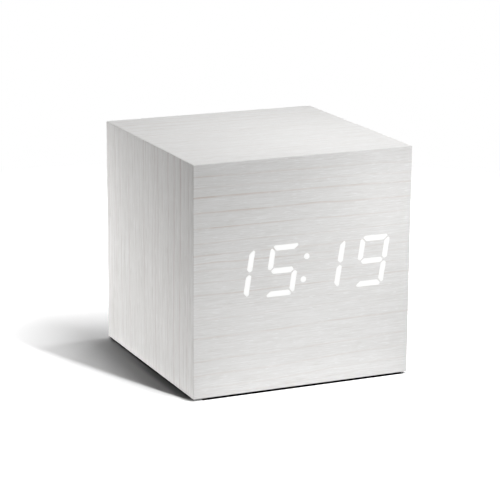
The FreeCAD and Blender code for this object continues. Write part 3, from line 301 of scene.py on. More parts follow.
class NodeBoard:
    """The shader nodes of one material or world, with a short method for each kind."""

    def __init__(self, owner: Union[bpy.types.Material, bpy.types.World]) -> None:
        """Clears the owner's nodes.

        Args:
            owner: The new material or world.
        """
        owner.use_nodes = True
        self.tree = owner.node_tree
        self.tree.nodes.clear()
        kind = "World" if isinstance(owner, bpy.types.World) else "Material"
        self.output = self.tree.nodes.new("ShaderNodeOutput" + kind)

    def node(
        self, kind: str, inputs: dict[Union[str, int], Value], **settings: object
    ) -> bpy.types.Node:
        """A new node.

        Args:
            kind: The node's type, without its prefix.
            inputs: A value or another node's socket for each input, by name or number.
            **settings: The node's own properties.

        Returns:
            The node.
        """
        made = self.tree.nodes.new("ShaderNode" + kind)
        for key, value in settings.items():
            setattr(made, key, value)
        for key, value in inputs.items():
            if isinstance(value, Socket):
                self.tree.links.new(value, made.inputs[key])
            else:
                slot = made.inputs[key]
                short = slot.type == "RGBA" and not isinstance(value, (int, float)) and len(value) == 3
                slot.default_value = (*value, 1.0) if short else value
        return made

    def place(self) -> Socket:
        """Object coordinates in millimetres."""
        raw = self.node("TexCoord", {}).outputs["Object"]
        return self.scaled(raw, (1 / MM, 1 / MM, 1 / MM))

    def scaled(self, vector: Socket, factors: Triple) -> Socket:
        """A vector times a factor for each axis."""
        return self.node("VectorMath", {0: vector, 1: factors}, operation="MULTIPLY").outputs[0]

    def vector(self, a: Value, b: Value, c: Value) -> Socket:
        """A vector of three numbers."""
        return self.node("CombineXYZ", {0: a, 1: b, 2: c}).outputs[0]

    def length(self, vector: Socket) -> Socket:
        """How long a vector is."""
        return self.node("VectorMath", {0: vector}, operation="LENGTH").outputs["Value"]

    def axes(self, vector: Socket) -> tuple[Socket, Socket, Socket]:
        """The three parts of a vector."""
        parts = self.node("SeparateXYZ", {0: vector}).outputs
        return parts[0], parts[1], parts[2]

    def math(self, operation: str, a: Value, b: Value = 0.0, clamp: bool = False) -> Socket:
        """One sum of two numbers."""
        return self.node("Math", {0: a, 1: b}, operation=operation, use_clamp=clamp).outputs[0]

    def total(self, *terms: Value) -> Socket:
        """The sum of several numbers."""
        whole = terms[0]
        for term in terms[1:]:
            whole = self.math("ADD", whole, term)
        return whole

    def noise(self, vector: Socket, detail: float = 2.0, rough: float = 0.5, warp: float = 0.0) -> Socket:
        """Soft noise from 0 to 1, one cell for each step of the vector."""
        inputs = {"Vector": vector, "Scale": 1.0, "Detail": detail, "Roughness": rough, "Distortion": warp}
        return self.node("TexNoise", inputs).outputs[0]

    def grain(
        self, rates: Union[float, Triple], detail: float = 2.0, rough: float = 0.5, warp: float = 0.0
    ) -> Socket:
        """Soft noise over a piece, rates being its cells to the millimetre along each axis."""
        factors = (rates,) * 3 if isinstance(rates, (int, float)) else rates
        return self.noise(self.scaled(self.place(), factors), detail, rough, warp)

    def span(
        self, value: Value, low: float, high: float, to_low: float = 0.0, to_high: float = 1.0
    ) -> Socket:
        """A number eased from one range to another and held at its ends."""
        inputs = {0: value, 1: low, 2: high, 3: to_low, 4: to_high}
        return self.node("MapRange", inputs, interpolation_type="SMOOTHSTEP").outputs[0]

    def scale_to(self, value: Value, low: float, high: float, to_low: float, to_high: float) -> Socket:
        """A number moved from one range to another along a straight line."""
        return self.node("MapRange", {0: value, 1: low, 2: high, 3: to_low, 4: to_high}).outputs[0]

    def swing(self, noise: Socket, to_low: float, to_high: float) -> Socket:
        """A number that swings with soft noise between two values."""
        return self.scale_to(noise, NOISE_LOW, NOISE_HIGH, to_low, to_high)

    def between(self, share: Value, a: Value, b: Value) -> Socket:
        """Number a turning into number b as share goes from 0 to 1."""
        rest = self.math("SUBTRACT", 1.0, share)
        return self.math("ADD", self.math("MULTIPLY", a, rest), self.math("MULTIPLY", b, share))

    def within(self, value: Value, low: float, high: float) -> Socket:
        """1 where a number lies between low and high, else 0."""
        above = self.math("GREATER_THAN", value, low)
        return self.math("MULTIPLY", above, self.math("LESS_THAN", value, high))

    def mix(self, share: Value, a: Value, b: Value) -> Socket:
        """Colour a turning into colour b as share goes from 0 to 1."""
        made = self.node("Mix", {0: share, MIX_A: a, MIX_B: b}, data_type="RGBA")
        return made.outputs[MIX_RESULT]

    def blend(self, a: Value, b: Value, *shares: Value) -> Socket:
        """Colour a turning into colour b by the sum of shares, held between 0 and 1."""
        return self.mix(self.math("ADD", self.total(*shares), 0.0, clamp=True), a, b)

    def ramp(self, value: Socket, stops: Sequence[tuple[float, float]]) -> Socket:
        """A number read off a list of (place, height) stops, with straight runs between them."""
        made = self.node("ValToRGB", {0: value})
        elements = made.color_ramp.elements
        while len(elements) < len(stops):
            elements.new(1.0)
        for element, (place, height) in zip(elements, stops):
            element.position = place
            element.color = (height, height, height, 1.0)
        return made.outputs[0]

    def bump(self, height: Socket, distance: float, strength: float = 1.0) -> Socket:
        """A normal from a height, distance being its full depth in millimetres."""
        inputs = {"Height": height, "Distance": distance * MM, "Strength": strength}
        return self.node("Bump", inputs).outputs[0]

    def surface(self, **inputs: Value) -> None:
        """The main shader, its inputs named with underscores for spaces."""
        named = {key.replace("_", " "): value for key, value in inputs.items()}
        self.show(self.node("BsdfPrincipled", named).outputs[0])

    def show(self, shader: Socket) -> None:
        """Sends a shader to the output."""
        self.tree.links.new(shader, self.output.inputs[0])

    def seen(self) -> Socket:
        """1 for what the camera sees, straight, in a gloss or through something clear, and 0 for light."""
        paths = self.node("LightPath", {}).outputs
        direct = self.math("MAXIMUM", paths["Is Camera Ray"], paths["Is Glossy Ray"])
        return self.math("MAXIMUM", direct, paths["Is Transmission Ray"])


@dataclass(frozen=True)
class Finish(ABC):
    """A finish that can lay out its own material."""

    name: str
    made: ClassVar[dict[str, bpy.types.Material]] = {}

    @abstractmethod
    def paint(self, board: NodeBoard) -> None:
        """Lays out the nodes of the finish."""

    def material(self) -> bpy.types.Material:
        """The finish's material, made the first time that it is asked for."""
        if self.name not in Finish.made:
            Finish.made[self.name] = bpy.data.materials.new(self.name)
            self.paint(NodeBoard(Finish.made[self.name]))
        return Finish.made[self.name]


@dataclass(frozen=True)
class GrowthLine:
    """A thin line of late wood: its place across a leaf, and its strength at the leaf's two ends."""

    place: float
    start: float
    end: float
    width: float = 0.38
    rise: float = 0.4  # width of its sharp side, as a share of its width

    def stops(self, size: float, strength: float) -> list[tuple[float, float]]:
        """The line's sharp rise and softer fall, as shares of the leaf's size."""
        middle, width = self.place / size, self.width / size
        return [(middle - self.rise * width, 0.0), (middle, strength), (middle + width, 0.0)]


LEAF_LINES = (
    GrowthLine(3.3, 0.40, 0.18),
    GrowthLine(6.5, 0.20, 0.16),
    GrowthLine(9.3, 0.56, 0.22),
    GrowthLine(13.8, 0.50, 0.22),
    GrowthLine(18.2, 0.46, 0.14),
    GrowthLine(22.4, 0.28, 0.14),
    GrowthLine(26.0, 0.32, 0.10),
    GrowthLine(28.3, 0.32, 0.14),
    GrowthLine(30.5, 0.14, 0.13),
    GrowthLine(33.8, 0.20, 0.14),
    GrowthLine(37.3, 0.26, 0.20),
    GrowthLine(41.0, 0.06, 0.06),
    GrowthLine(44.4, 0.12, 0.09),
    GrowthLine(49.8, 0.24, 0.17),
    GrowthLine(56.5, 0.22, 0.20),
    GrowthLine(60.7, 0.18, 0.17),
    GrowthLine(64.5, 0.16, 0.13),
    GrowthLine(66.6, 0.12, 0.08),
)


@dataclass(frozen=True)
class WoodVeneer(Finish):
    """White-washed veneer: fibres, pores filled with wash, and thin lines of late wood.

    Every face wears a leaf cut from the same log, so all of them show the same
    lines. A point lies s millimetres along the fibres of its leaf and t across
    them. Each line starts at its own t and leans by (s / size) to the power 1.6,
    times a slope that turns from one side of the leaf to the other.
    """

    low: Triple = (-34.0, -34.0, 0.5)
    high: Triple = (34.0, 34.0, 68.0)
    lines: tuple[GrowthLine, ...] = LEAF_LINES
    washed: Colour = (0.900, 0.900, 0.8985)
    shaded: Colour = (0.567, 0.546, 0.513)
    late_wood: Colour = (0.535, 0.415, 0.335)
    base_shade: float = 0.25
    line_strength: float = 1.0
    fibre_strength: float = 0.16
    tone_strength: float = 0.10
    top_lines: float = 0.75
    top_fibres: float = 1.1
    fibre_length: float = 1.35
    pore_depth: float = 0.02
    fibre_relief: float = 0.7  # share of the relief that follows the fibres
    seed: float = 0.0
    # Cells to the millimetre along the fibres, across them, and from one seed to the next.
    wander_rate: Triple = (0.03, 0.05, 1.0)
    fibre_rate: Triple = (0.10, 2.6, 1.0)
    dash_rate: Triple = (0.30, 4.2, 1.0)
    fleck_rate: Triple = (0.5, 3.4, 2.0)
    tone_rate: Triple = (0.02, 0.2, 1.0)
    fade_rate: Triple = (0.09, 0.3, 1.0)
    fleck_depth: float = 1.6
    dash_depth: float = 1.2
    fade_range: tuple[float, float] = (0.4, 1.25)  # what the lines are multiplied by
    sloped: tuple[float, float] = (4.0, 62.0)  # two places across the leaf
    slopes: tuple[float, float] = (-1.1, 1.9)  # and how far the lines lean at them
    lean_power: float = 1.6
    bend: float = 0.35
    face_depth: float = 0.15  # how far below a face a point still counts as on it

    @abstractmethod
    def leaf(self, board: NodeBoard) -> tuple[Socket, Socket]:
        """Where a point lies on its leaf: s along the fibres, and t across them."""

    def placed_lines(self, board: NodeBoard, across: Socket, along: Socket) -> Socket:
        """The growth lines.

        Args:
            board: The nodes to add to.
            across: Share of the leaf's size across the fibres.
            along: Share of its length along them.

        Returns:
            0 between the lines, up to each line's strength on it.
        """
        size = self.high[0] - self.low[0]
        half = (len(self.lines) + 1) // 2
        ends = []
        for end in ("start", "end"):
            ramps = []
            for group in (self.lines[:half], self.lines[half:]):
                stops = [(0.0, 0.0)]
                for line in group:
                    stops += line.stops(size, getattr(line, end))
                ramps.append(board.ramp(across, stops))
            ends.append(board.total(*ramps))
        return board.between(along, *ends)

    def leaf_noise(
        self, board: NodeBoard, rate: Triple, detail: float, rough: float = 0.5, stretch: float = 1.0
    ) -> Socket:
        """Noise over the leaf, its cells stretched along the fibres."""
        s, t = self.leaf(board)
        rates = (rate[0] / stretch, *rate[1:])
        return board.noise(board.scaled(board.vector(s, t, self.seed), rates), detail, rough)

    def paint(self, board: NodeBoard) -> None:
        """Lays out the nodes of the veneer."""
        s, t = self.leaf(board)
        size = self.high[0] - self.low[0]
        length, strength = self.fibre_length, self.fibre_strength
        wander = self.leaf_noise(board, self.wander_rate, 2.0)
        fibres = self.leaf_noise(board, self.fibre_rate, 3.0, 0.62, length)
        dashes = self.leaf_noise(board, self.dash_rate, 2.0, 0.5, length)
        flecks = self.leaf_noise(board, self.fleck_rate, 1.0, 0.5, length)
        tone = self.leaf_noise(board, self.tone_rate, 3.0, 0.6)
        fade = self.leaf_noise(board, self.fade_rate, 2.0)
        along = board.scale_to(s, 0.0, size, 0.0, 1.0)
        slope = board.scale_to(t, *self.sloped, *self.slopes)
        lean = board.math("MULTIPLY", board.math("POWER", along, self.lean_power), slope)
        bend = board.swing(wander, -self.bend, self.bend)
        across = board.scale_to(board.total(t, lean, bend), 0.0, size, 0.0, 1.0)
        lines = board.math("MULTIPLY", self.placed_lines(board, across, along), self.line_strength)
        lines = board.math("MULTIPLY", lines, board.span(fade, 0.3, 0.62, *self.fade_range))
        z = board.axes(board.place())[Axis.Z]
        on_top = board.span(z, self.high[2] - self.face_depth, self.high[2] - self.face_depth / 3)
        lines = board.math("MULTIPLY", lines, board.scale_to(on_top, 0.0, 1.0, 1.0, self.top_lines))
        dark = board.total(
            board.scale_to(fibres, 0.25, 0.75, -strength, strength),
            board.scale_to(tone, 0.25, 0.75, -self.tone_strength / 2, self.tone_strength / 2),
            board.span(dashes, 0.58, 0.70, 0.0, strength),
            board.span(flecks, 0.60, 0.72, 0.0, -self.fleck_depth * strength),
            board.span(dashes, 0.30, 0.42, -self.dash_depth * strength, 0.0),
        )
        dark = board.math("MULTIPLY", dark, board.scale_to(on_top, 0.0, 1.0, 1.0, self.top_fibres))
        ground = board.blend(self.washed, self.shaded, dark, self.base_shade)
        rough = board.scale_to(fibres, 0.2, 0.8, 0.56, 0.7)
        relief = board.between(self.fibre_relief, dashes, fibres)
        board.surface(
            Base_Color=board.blend(ground, self.late_wood, lines),
            Roughness=rough,
            Normal=board.bump(relief, self.pore_depth, 0.6),
            Specular_IOR_Level=0.35,
        )


@dataclass(frozen=True)
class StripVeneer(WoodVeneer):
    """The veneer folded round front, top, back and underside, its fibres level."""

    def leaf(self, board: NodeBoard) -> tuple[Socket, Socket]:
        """Along is across the clock; t runs down the upright faces, and forwards on the flat ones."""
        x, y, z = board.axes(board.place())
        upright = board.math("GREATER_THAN", board.math("ABSOLUTE", y), self.high[1] - self.face_depth)
        down = board.math("SUBTRACT", self.high[2], z)
        forwards = board.math("SUBTRACT", self.high[1], y)
        return board.math("SUBTRACT", x, self.low[0]), board.between(upright, forwards, down)


@dataclass(frozen=True)
class SideVeneer(WoodVeneer):
    """The veneer of a side: its fibres are upright, and longer and stronger than on the strip."""

    washed: Colour = (0.905, 0.897, 0.887)
    late_wood: Colour = (0.53, 0.417, 0.41)
    line_strength: float = 1.45
    fibre_strength: float = 0.33
    fibre_length: float = 2.4
    tone_strength: float = 0.16
    seed: float = 9.0

    def leaf(self, board: NodeBoard) -> tuple[Socket, Socket]:
        """Along is down the side, and t runs backwards from the front."""
        _, y, z = board.axes(board.place())
        return board.math("SUBTRACT", self.high[2], z), board.math("SUBTRACT", y, self.low[1])


@dataclass(frozen=True)
class FibreBoard(Finish):
    """The bare wood board under the veneer: pressed fibres with darker specks."""

    pale: Colour = (0.52, 0.40, 0.27)
    dark: Colour = (0.30, 0.21, 0.13)

    def paint(self, board: NodeBoard) -> None:
        """Lays out the nodes of the board."""
        clumps = board.grain(0.5, 3.0, 0.6)
        fibres = board.grain(2.5, 4.0, 0.65, 0.6)
        specks = board.span(board.grain(1.6, 1.0), 0.66, 0.74, 0.0, 0.5)
        shares = (board.swing(clumps, 0.1, 0.35), board.swing(fibres, -0.1, 0.25), specks)
        colour = board.blend(self.pale, self.dark, *shares)
        board.surface(Base_Color=colour, Roughness=0.85, Normal=board.bump(fibres, 0.05, 0.7))


@dataclass(frozen=True)
class LitVeneer(Finish):
    """A lit place of the front: light that comes through the veneer's fibres."""

    glow: Colour = (1.0, 1.0, 1.0)
    streak: Colour = (0.93, 0.93, 0.93)
    wood: Colour = (0.22, 0.22, 0.215)
    wash: Colour = (0.28, 0.28, 0.275)
    strength: float = 0.78

    def paint(self, board: NodeBoard) -> None:
        """Lays out the nodes of the lit places."""
        fibres = board.grain((0.08, 1.0, 2.4), 3.0, 0.6)
        board.surface(
            Base_Color=board.mix(fibres, self.wood, self.wash),
            Roughness=0.6,
            Emission_Color=board.mix(board.span(fibres, 0.3, 0.6), self.streak, self.glow),
            Emission_Strength=self.strength,
        )


@dataclass(frozen=True)
class MouldedPlastic(Finish):
    """Moulded plastic with a fine spark-eroded texture and faint flow marks."""

    colour: Colour = (0.7, 0.69, 0.67)
    roughness: float = 0.5
    texture: float = 0.02
    texture_rate: float = 5.0

    def paint(self, board: NodeBoard) -> None:
        """Lays out the nodes of the plastic."""
        grit = board.grain(self.texture_rate, 3.0, 0.6)
        flow = board.grain(0.05, 2.0, 0.5, 1.0)
        shares = (board.swing(noise, 0.0, 0.4) for noise in (flow, grit))
        colour = board.blend(self.colour, toned(self.colour, 0.9), *shares)
        rough = board.scale_to(grit, 0.2, 0.8, self.roughness - 0.06, self.roughness + 0.1)
        board.surface(Base_Color=colour, Roughness=rough, Normal=board.bump(grit, self.texture, 0.6))


@dataclass(frozen=True)
class SoftRubber(Finish):
    """The feet's rubber: matt and dusty."""

    colour: Colour = (0.05, 0.05, 0.052)

    def paint(self, board: NodeBoard) -> None:
        """Lays out the nodes of the rubber."""
        dust, pits = board.grain(0.9, 4.0, 0.6), board.grain(7.0)
        colour = board.mix(board.span(dust, 0.4, 0.8), self.colour, toned(self.colour, 1.9))
        board.surface(Base_Color=colour, Roughness=0.88, Normal=board.bump(pits, 0.03, 0.6))


@dataclass(frozen=True)
class PlatedMetal(Finish):
    """Plated or turned metal, with fine lines drawn out along one axis."""

    colour: Colour = (0.62, 0.61, 0.59)
    roughness: float = 0.3
    lines: Triple = (1.0, 8.0, 8.0)
    tarnish: float = 0.15

    def paint(self, board: NodeBoard) -> None:
        """Lays out the nodes of the metal."""
        drawn, stain = board.grain(self.lines, 3.0, 0.6), board.grain(0.35, 3.0, 0.6)
        duller = toned(self.colour, 1 - 2 * self.tarnish)
        colour = board.mix(board.span(stain, 0.4, 0.75), self.colour, duller)
        rough = board.total(
            board.scale_to(drawn, 0.25, 0.75, self.roughness - 0.07, self.roughness + 0.1),
            board.span(stain, 0.4, 0.8, 0.0, self.tarnish),
        )
        board.surface(Base_Color=colour, Metallic=1.0, Roughness=rough, Normal=board.bump(drawn, 0.004, 0.4))


@dataclass(frozen=True)
class CircuitLaminate(Finish):
    """A circuit board: copper runs under a coloured mask, with the weave at its edge.

    Runs follow two sets of parallel lines, one level and one upright, that take
    turns from cell to cell of a coarse chequer, so that they bend at right angles.
    """

    mask: Colour = (0.012, 0.10, 0.045)
    run: Colour = (0.03, 0.19, 0.085)
    edge: Colour = (0.42, 0.36, 0.16)
    pitch: float = 0.9
    cell: float = 6.5
    low: float = 0.0
    high: float = 0.0
    mask_thickness: float = 0.03
    run_half: tuple[float, float] = (0.13, 0.18)  # where a run starts to end and ends, in pitches
    run_cells: float = 0.62  # share of the cells that carry runs

    def paint(self, board: NodeBoard) -> None:
        """Lays out the nodes of the board."""
        place = board.place()
        x, y, z = board.axes(place)
        level = board.math("PINGPONG", z, self.pitch / 2)
        upright = board.math("PINGPONG", x, self.pitch / 2)
        cells = board.scaled(place, (1 / self.cell, 0.0, 1 / self.cell))
        turn = board.axes(board.node("TexVoronoi", {"Vector": cells, "Scale": 1.0}).outputs["Color"])
        away = board.between(board.math("GREATER_THAN", turn[0], 0.5), upright, level)
        runs = board.span(away, *(share * self.pitch for share in self.run_half), 1.0, 0.0)
        bare = board.math("GREATER_THAN", turn[1], self.run_cells)
        runs = board.math("MULTIPLY", runs, board.math("SUBTRACT", 1.0, bare))
        weave = board.grain((1.2, 6.0, 1.2))
        inner = board.within(y, self.low + self.mask_thickness, self.high - self.mask_thickness)
        rim = board.mix(board.span(weave, 0.35, 0.65), self.edge, toned(self.edge, 0.7))
        colour = board.mix(inner, board.mix(runs, self.mask, self.run), rim)
        rough = board.swing(weave, 0.3, 0.42)
        board.surface(Base_Color=colour, Roughness=rough, Normal=board.bump(runs, 0.03, 0.8))


@dataclass(frozen=True)
class LeadedBody(Finish):
    """A moulded body with bare metal wherever it reaches beyond its own width.

    The metal starts where the distance from the middle, along one axis, passes
    the half width of the body.
    """

    body: Colour = (0.018, 0.018, 0.02)
    metal: Colour = (0.66, 0.65, 0.62)
    axis: Axis = Axis.Z
    middle: float = 0.0
    half: float = 3.75
    roughness: float = 0.45
    clearance: float = 0.01

    def paint(self, board: NodeBoard) -> None:
        """Lays out the nodes of body and leads."""
        along = board.axes(board.place())[self.axis]
        away = board.math("ABSOLUTE", board.math("SUBTRACT", along, self.middle))
        metal = board.math("GREATER_THAN", away, self.half + self.clearance)
        grit = board.grain(6.0, 3.0, 0.6)
        skin = board.mix(board.span(grit, 0.3, 0.75), self.body, toned(self.body, 1.8))
        colour = board.mix(metal, skin, self.metal)
        rough = board.swing(grit, self.roughness - 0.08, self.roughness + 0.08)
        board.surface(
            Base_Color=colour, Metallic=metal, Roughness=rough, Normal=board.bump(grit, 0.015, 0.5)
        )


@dataclass(frozen=True)
class ClearResin(Finish):
    """The clear filling of a well: slightly milky, with a rippled face."""

    colour: Colour = (0.96, 0.97, 0.97)
    milky: Colour = (0.86, 0.88, 0.88)

    def paint(self, board: NodeBoard) -> None:
        """Lays out the nodes of the resin."""
        milk = board.grain(0.8, 3.0, 0.6)
        board.surface(
            Base_Color=board.mix(milk, self.colour, self.milky),
            Roughness=board.swing(milk, 0.08, 0.2),
            IOR=1.5,
            Transmission_Weight=0.7,
            Normal=board.bump(milk, 0.02, 0.4),
        )


@dataclass(frozen=True)
class StripedCable(Finish):
    """Flat cable: one rounded rib for each wire, with the first one marked, and painted shade in the valleys
    between the ribs.
    """

    colour: Colour = (0.47, 0.48, 0.5)
    marked: Colour = (0.45, 0.06, 0.05)
    painted_valley_shade: Colour = (0.12, 0.12, 0.13)
    left: float = -6.7
    pitch: float = 1.0

    def paint(self, board: NodeBoard) -> None:
        """Lays out the nodes of the cable."""
        x = board.axes(board.place())[Axis.X]
        rib = board.math("PINGPONG", board.math("SUBTRACT", x, self.left), self.pitch / 2)
        # painted shade: the colour darkens into the valleys between the ribs
        painted_shade_between_ribs = board.span(rib, 0.0, 0.22 * self.pitch, 0.5, 0.0)
        first = board.math("LESS_THAN", x, self.left + self.pitch)
        colour = board.mix(painted_shade_between_ribs, board.mix(first, self.colour, self.marked), self.painted_valley_shade)
        board.surface(Base_Color=colour, Roughness=0.42, Normal=board.bump(rib, 0.25, 0.9))


@dataclass(frozen=True)
class ShrinkSleeve(Finish):
    """A cell's printed film: one colour for most of its length and a band at the plus end."""

    main: Colour = (0.10, 0.19, 0.27)
    band: Colour = (0.72, 0.73, 0.73)
    band_start: float = 0.80
    line_start: float = 0.785
    line_width: float = 0.006

    def paint(self, board: NodeBoard) -> None:
        """Lays out the nodes of the film."""
        along = board.node("Attribute", {}, attribute_name="along").outputs["Fac"]
        ink, creases = board.grain((1.5, 0.4, 1.5), 3.0, 0.6), board.grain((2.4, 0.12, 2.4))
        tinted = board.mix(board.span(ink, 0.3, 0.7), self.main, toned(self.main, 1.25))
        banded = board.mix(board.math("GREATER_THAN", along, self.band_start), tinted, self.band)
        line = board.within(along, self.line_start, self.line_start + self.line_width)
        colour = board.mix(line, banded, self.band)
        board.surface(
            Base_Color=colour,
            Roughness=board.swing(creases, 0.22, 0.34),
            Normal=board.bump(creases, 0.05, 0.4),
            Coat_Weight=0.3,
            Coat_Roughness=0.15,
        )


@dataclass(frozen=True)
class TwoToneCan(Finish):
    """A can in a coloured sleeve whose end face stays bare, split at a place along Y."""

    sleeve: Colour = (0.02, 0.03, 0.10)
    bare: Colour = (0.7, 0.7, 0.7)
    split: float = 0.0

    def paint(self, board: NodeBoard) -> None:
        """Lays out the nodes of the can."""
        end = board.math("LESS_THAN", board.axes(board.place())[Axis.Y], self.split)
        grit = board.grain(2.0, 3.0, 0.6)
        board.surface(
            Base_Color=board.mix(end, board.mix(grit, self.sleeve, toned(self.sleeve, 1.6)), self.bare),
            Metallic=end,
            Roughness=board.swing(grit, 0.28, 0.4),
            Normal=board.bump(grit, 0.01, 0.4),
        )


# Sub-assemblies

DRAWN_ALONG_Y = (8.0, 1.0, 8.0)  # how fine a metal's lines are along each axis
DRAWN_ALONG_Z = (8.0, 8.0, 1.0)


class SubAssembly(ABC):
    """A group of pieces that are built and dressed together."""

    def dress(self, finishes: dict[str, Finish]) -> None:
        """Puts finishes on solids of the frame.

        Args:
            finishes: What each named solid is made of or coated with.
        """
        for node, finish in finishes.items():
            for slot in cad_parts[node].material_slots:
                slot.material = finish.material()
            log.info("%s wears %s", node, finish.name)

    def add(self, piece: bpy.types.Object, finish: Finish, body: str, slot: str) -> bpy.types.Object:
        """Puts a new piece on a body.

        Args:
            piece: The new mesh.
            finish: What it is made of.
            body: The body that it moves with.
            slot: Not used.

        Returns:
            The same piece.
        """
        piece.data.materials.append(finish.material())
        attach(piece, body)
        faces = len(piece.data.polygons)
        log.info("%s has %d faces, wears %s, rides on %s", piece.name, faces, finish.name, body)
        return piece

    def corners(self, node: str) -> tuple[Vector, Vector]:
        """The lowest and highest corner of a solid, in millimetres."""
        low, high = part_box(node)
        return low / MM, high / MM

    def chip(self, node: str) -> LeadedBody:
        """The finish of a chip whose leads stand out above and below."""
        low, high = self.corners(node)
        return LeadedBody(node, middle=(low.z + high.z) / 2)

    @abstractmethod
    def build(self) -> None:
        """Builds and dresses the sub-assembly."""


@dataclass
class WoodCase(SubAssembly):
    """The mitred boards, the veneer over them, and the feet."""

    sides: tuple[str, ...] = ("front", "back", "bottom", "top", "left", "right")
    core: FibreBoard = FibreBoard("pressed_fibre")
    rubber: SoftRubber = SoftRubber("foot_rubber")

    def build(self) -> None:
        """Dresses the boards, the three veneers and the feet."""
        low, high = (tuple(corner) for corner in self.corners("veneer_strip"))
        upright = SideVeneer("washed_veneer_upright", low, high)
        self.dress({side + "_board": self.core for side in self.sides})
        self.dress(
            {
                "veneer_strip": StripVeneer("washed_veneer_lengthwise", low, high),
                "veneer_left": upright,
                "veneer_right": upright,
                "feet": self.rubber,
            }
        )


@dataclass
class Display(SubAssembly):
    """Everything that lights the digits, from the veneer's lit places back to its circuit board."""

    mask: Colour = (0.55, 0.55, 0.54)
    run: Colour = (0.68, 0.68, 0.67)

    def build(self) -> None:
        """Dresses the display's solids."""
        low, high = self.corners("display_board")
        self.dress(
            {
                "lit_digits": LitVeneer("lit_veneer"),
                "diffuser_film": MouldedPlastic("diffuser_film", (0.86, 0.86, 0.85), 0.55, 0.01, 8.0),
                "reflector_block": MouldedPlastic("reflector_white", (0.82, 0.82, 0.81), 0.35, 0.01, 3.0),
                "light_bars": ClearResin("clear_filling"),
                "light_chips": MouldedPlastic("light_chip", (0.85, 0.80, 0.45), 0.3, 0.01, 6.0),
                "display_board": CircuitLaminate(
                    "display_laminate", self.mask, self.run, low=low.y, high=high.y
                ),
                "display_spacers": MouldedPlastic("spacer_nylon", (0.66, 0.65, 0.6), 0.4, 0.01, 4.0),
                "display_screws": PlatedMetal("zinc_screw", (0.6, 0.6, 0.62), 0.32),
                "driver_chip": self.chip("driver_chip"),
            }
        )


@dataclass
class BackPanel(SubAssembly):
    """The control panel with its keys, the marks beside them, its screws and the power socket."""

    mark_rise: float = 4.9  # from a key's middle up to the middle of its mark
    mark_size: float = 0.95
    mark_height: float = 0.14
    bead_width: float = 0.34
    sunk: float = 0.05
    rim: float = 0.06
    ring_share: float = 0.85  # of the mark's size
    corner_share: float = 1.15
    ring_steps: int = 72
    triangle_steps: int = 96
    triangle_rounding: int = 4
    keys: tuple[str, ...] = ("set", "up", "down")

    def triangle(self, way: float) -> np.ndarray:
        """A rounded triangle that points up for 1 and down for -1."""
        angle = np.pi / 2 * way + np.array([0, 2, 4]) * np.pi / 3
        corners = self.mark_size * self.corner_share * np.stack([np.cos(angle), np.sin(angle)], axis=1)
        return smoothed_loop(corners, self.triangle_steps, self.triangle_rounding)

    def circle(self) -> np.ndarray:
        """A circle of the marks' size."""
        angle = np.linspace(0, 2 * np.pi, self.ring_steps, endpoint=False)
        return self.mark_size * self.ring_share * np.stack([np.cos(angle), np.sin(angle)], axis=1)

    def marks(self, finish: Finish) -> None:
        """Raises a mark above each key: a ring to set, and triangles up and down."""
        panel_face = self.corners("control_panel")[1].y
        height, sunk = self.mark_height, self.sunk
        shapes = (
            raised_bead(self.circle(), self.bead_width, height, sunk),
            raised_pad(self.triangle(1), height, self.rim, sunk),
            raised_pad(self.triangle(-1), height, self.rim, sunk),
        )
        for name, shape in zip(self.keys, shapes):
            low, high = self.corners(name + "_button")
            origin = Vector(((low.x + high.x) / 2, panel_face, (low.z + high.z) / 2 + self.mark_rise))
            laid = on_plane(shape, origin, Vector((-1, 0, 0)), Vector((0, 0, 1)))
            self.add(mesh_piece("mark_" + name, laid), finish, "case", "case_moulding")

    def build(self) -> None:
        """Dresses the panel, keys and socket, and adds the marks."""
        self.dress({"control_panel": MouldedPlastic("panel_moulding", (0.70, 0.69, 0.67), 0.5)})
        self.marks(MouldedPlastic("mark_ink", (0.16, 0.16, 0.165), 0.5, 0.008, 7.0))
        self.dress({"panel_screws": PlatedMetal("panel_screw_metal", (0.46, 0.46, 0.48), 0.5)})
        moulding = MouldedPlastic("key_moulding", (0.34, 0.34, 0.345), 0.42, 0.012, 6.0)
        self.dress({key + "_button": moulding for key in self.keys})
        moulding = MouldedPlastic("plunger_moulding", (0.03, 0.03, 0.032), 0.4, 0.01, 6.0)
        self.dress({key + "_plunger": moulding for key in self.keys})
        steel = PlatedMetal("socket_steel", (0.66, 0.66, 0.67), 0.26, DRAWN_ALONG_Y)
        gold = PlatedMetal("gold_plating", (0.86, 0.62, 0.28), 0.24, DRAWN_ALONG_Y, 0.08)
        self.dress(
            {
                "socket_shell": steel,
                "socket_core": MouldedPlastic("socket_core", (0.022, 0.022, 0.024), 0.38, 0.01, 6.0),
                "socket_contacts": gold,
            }
        )


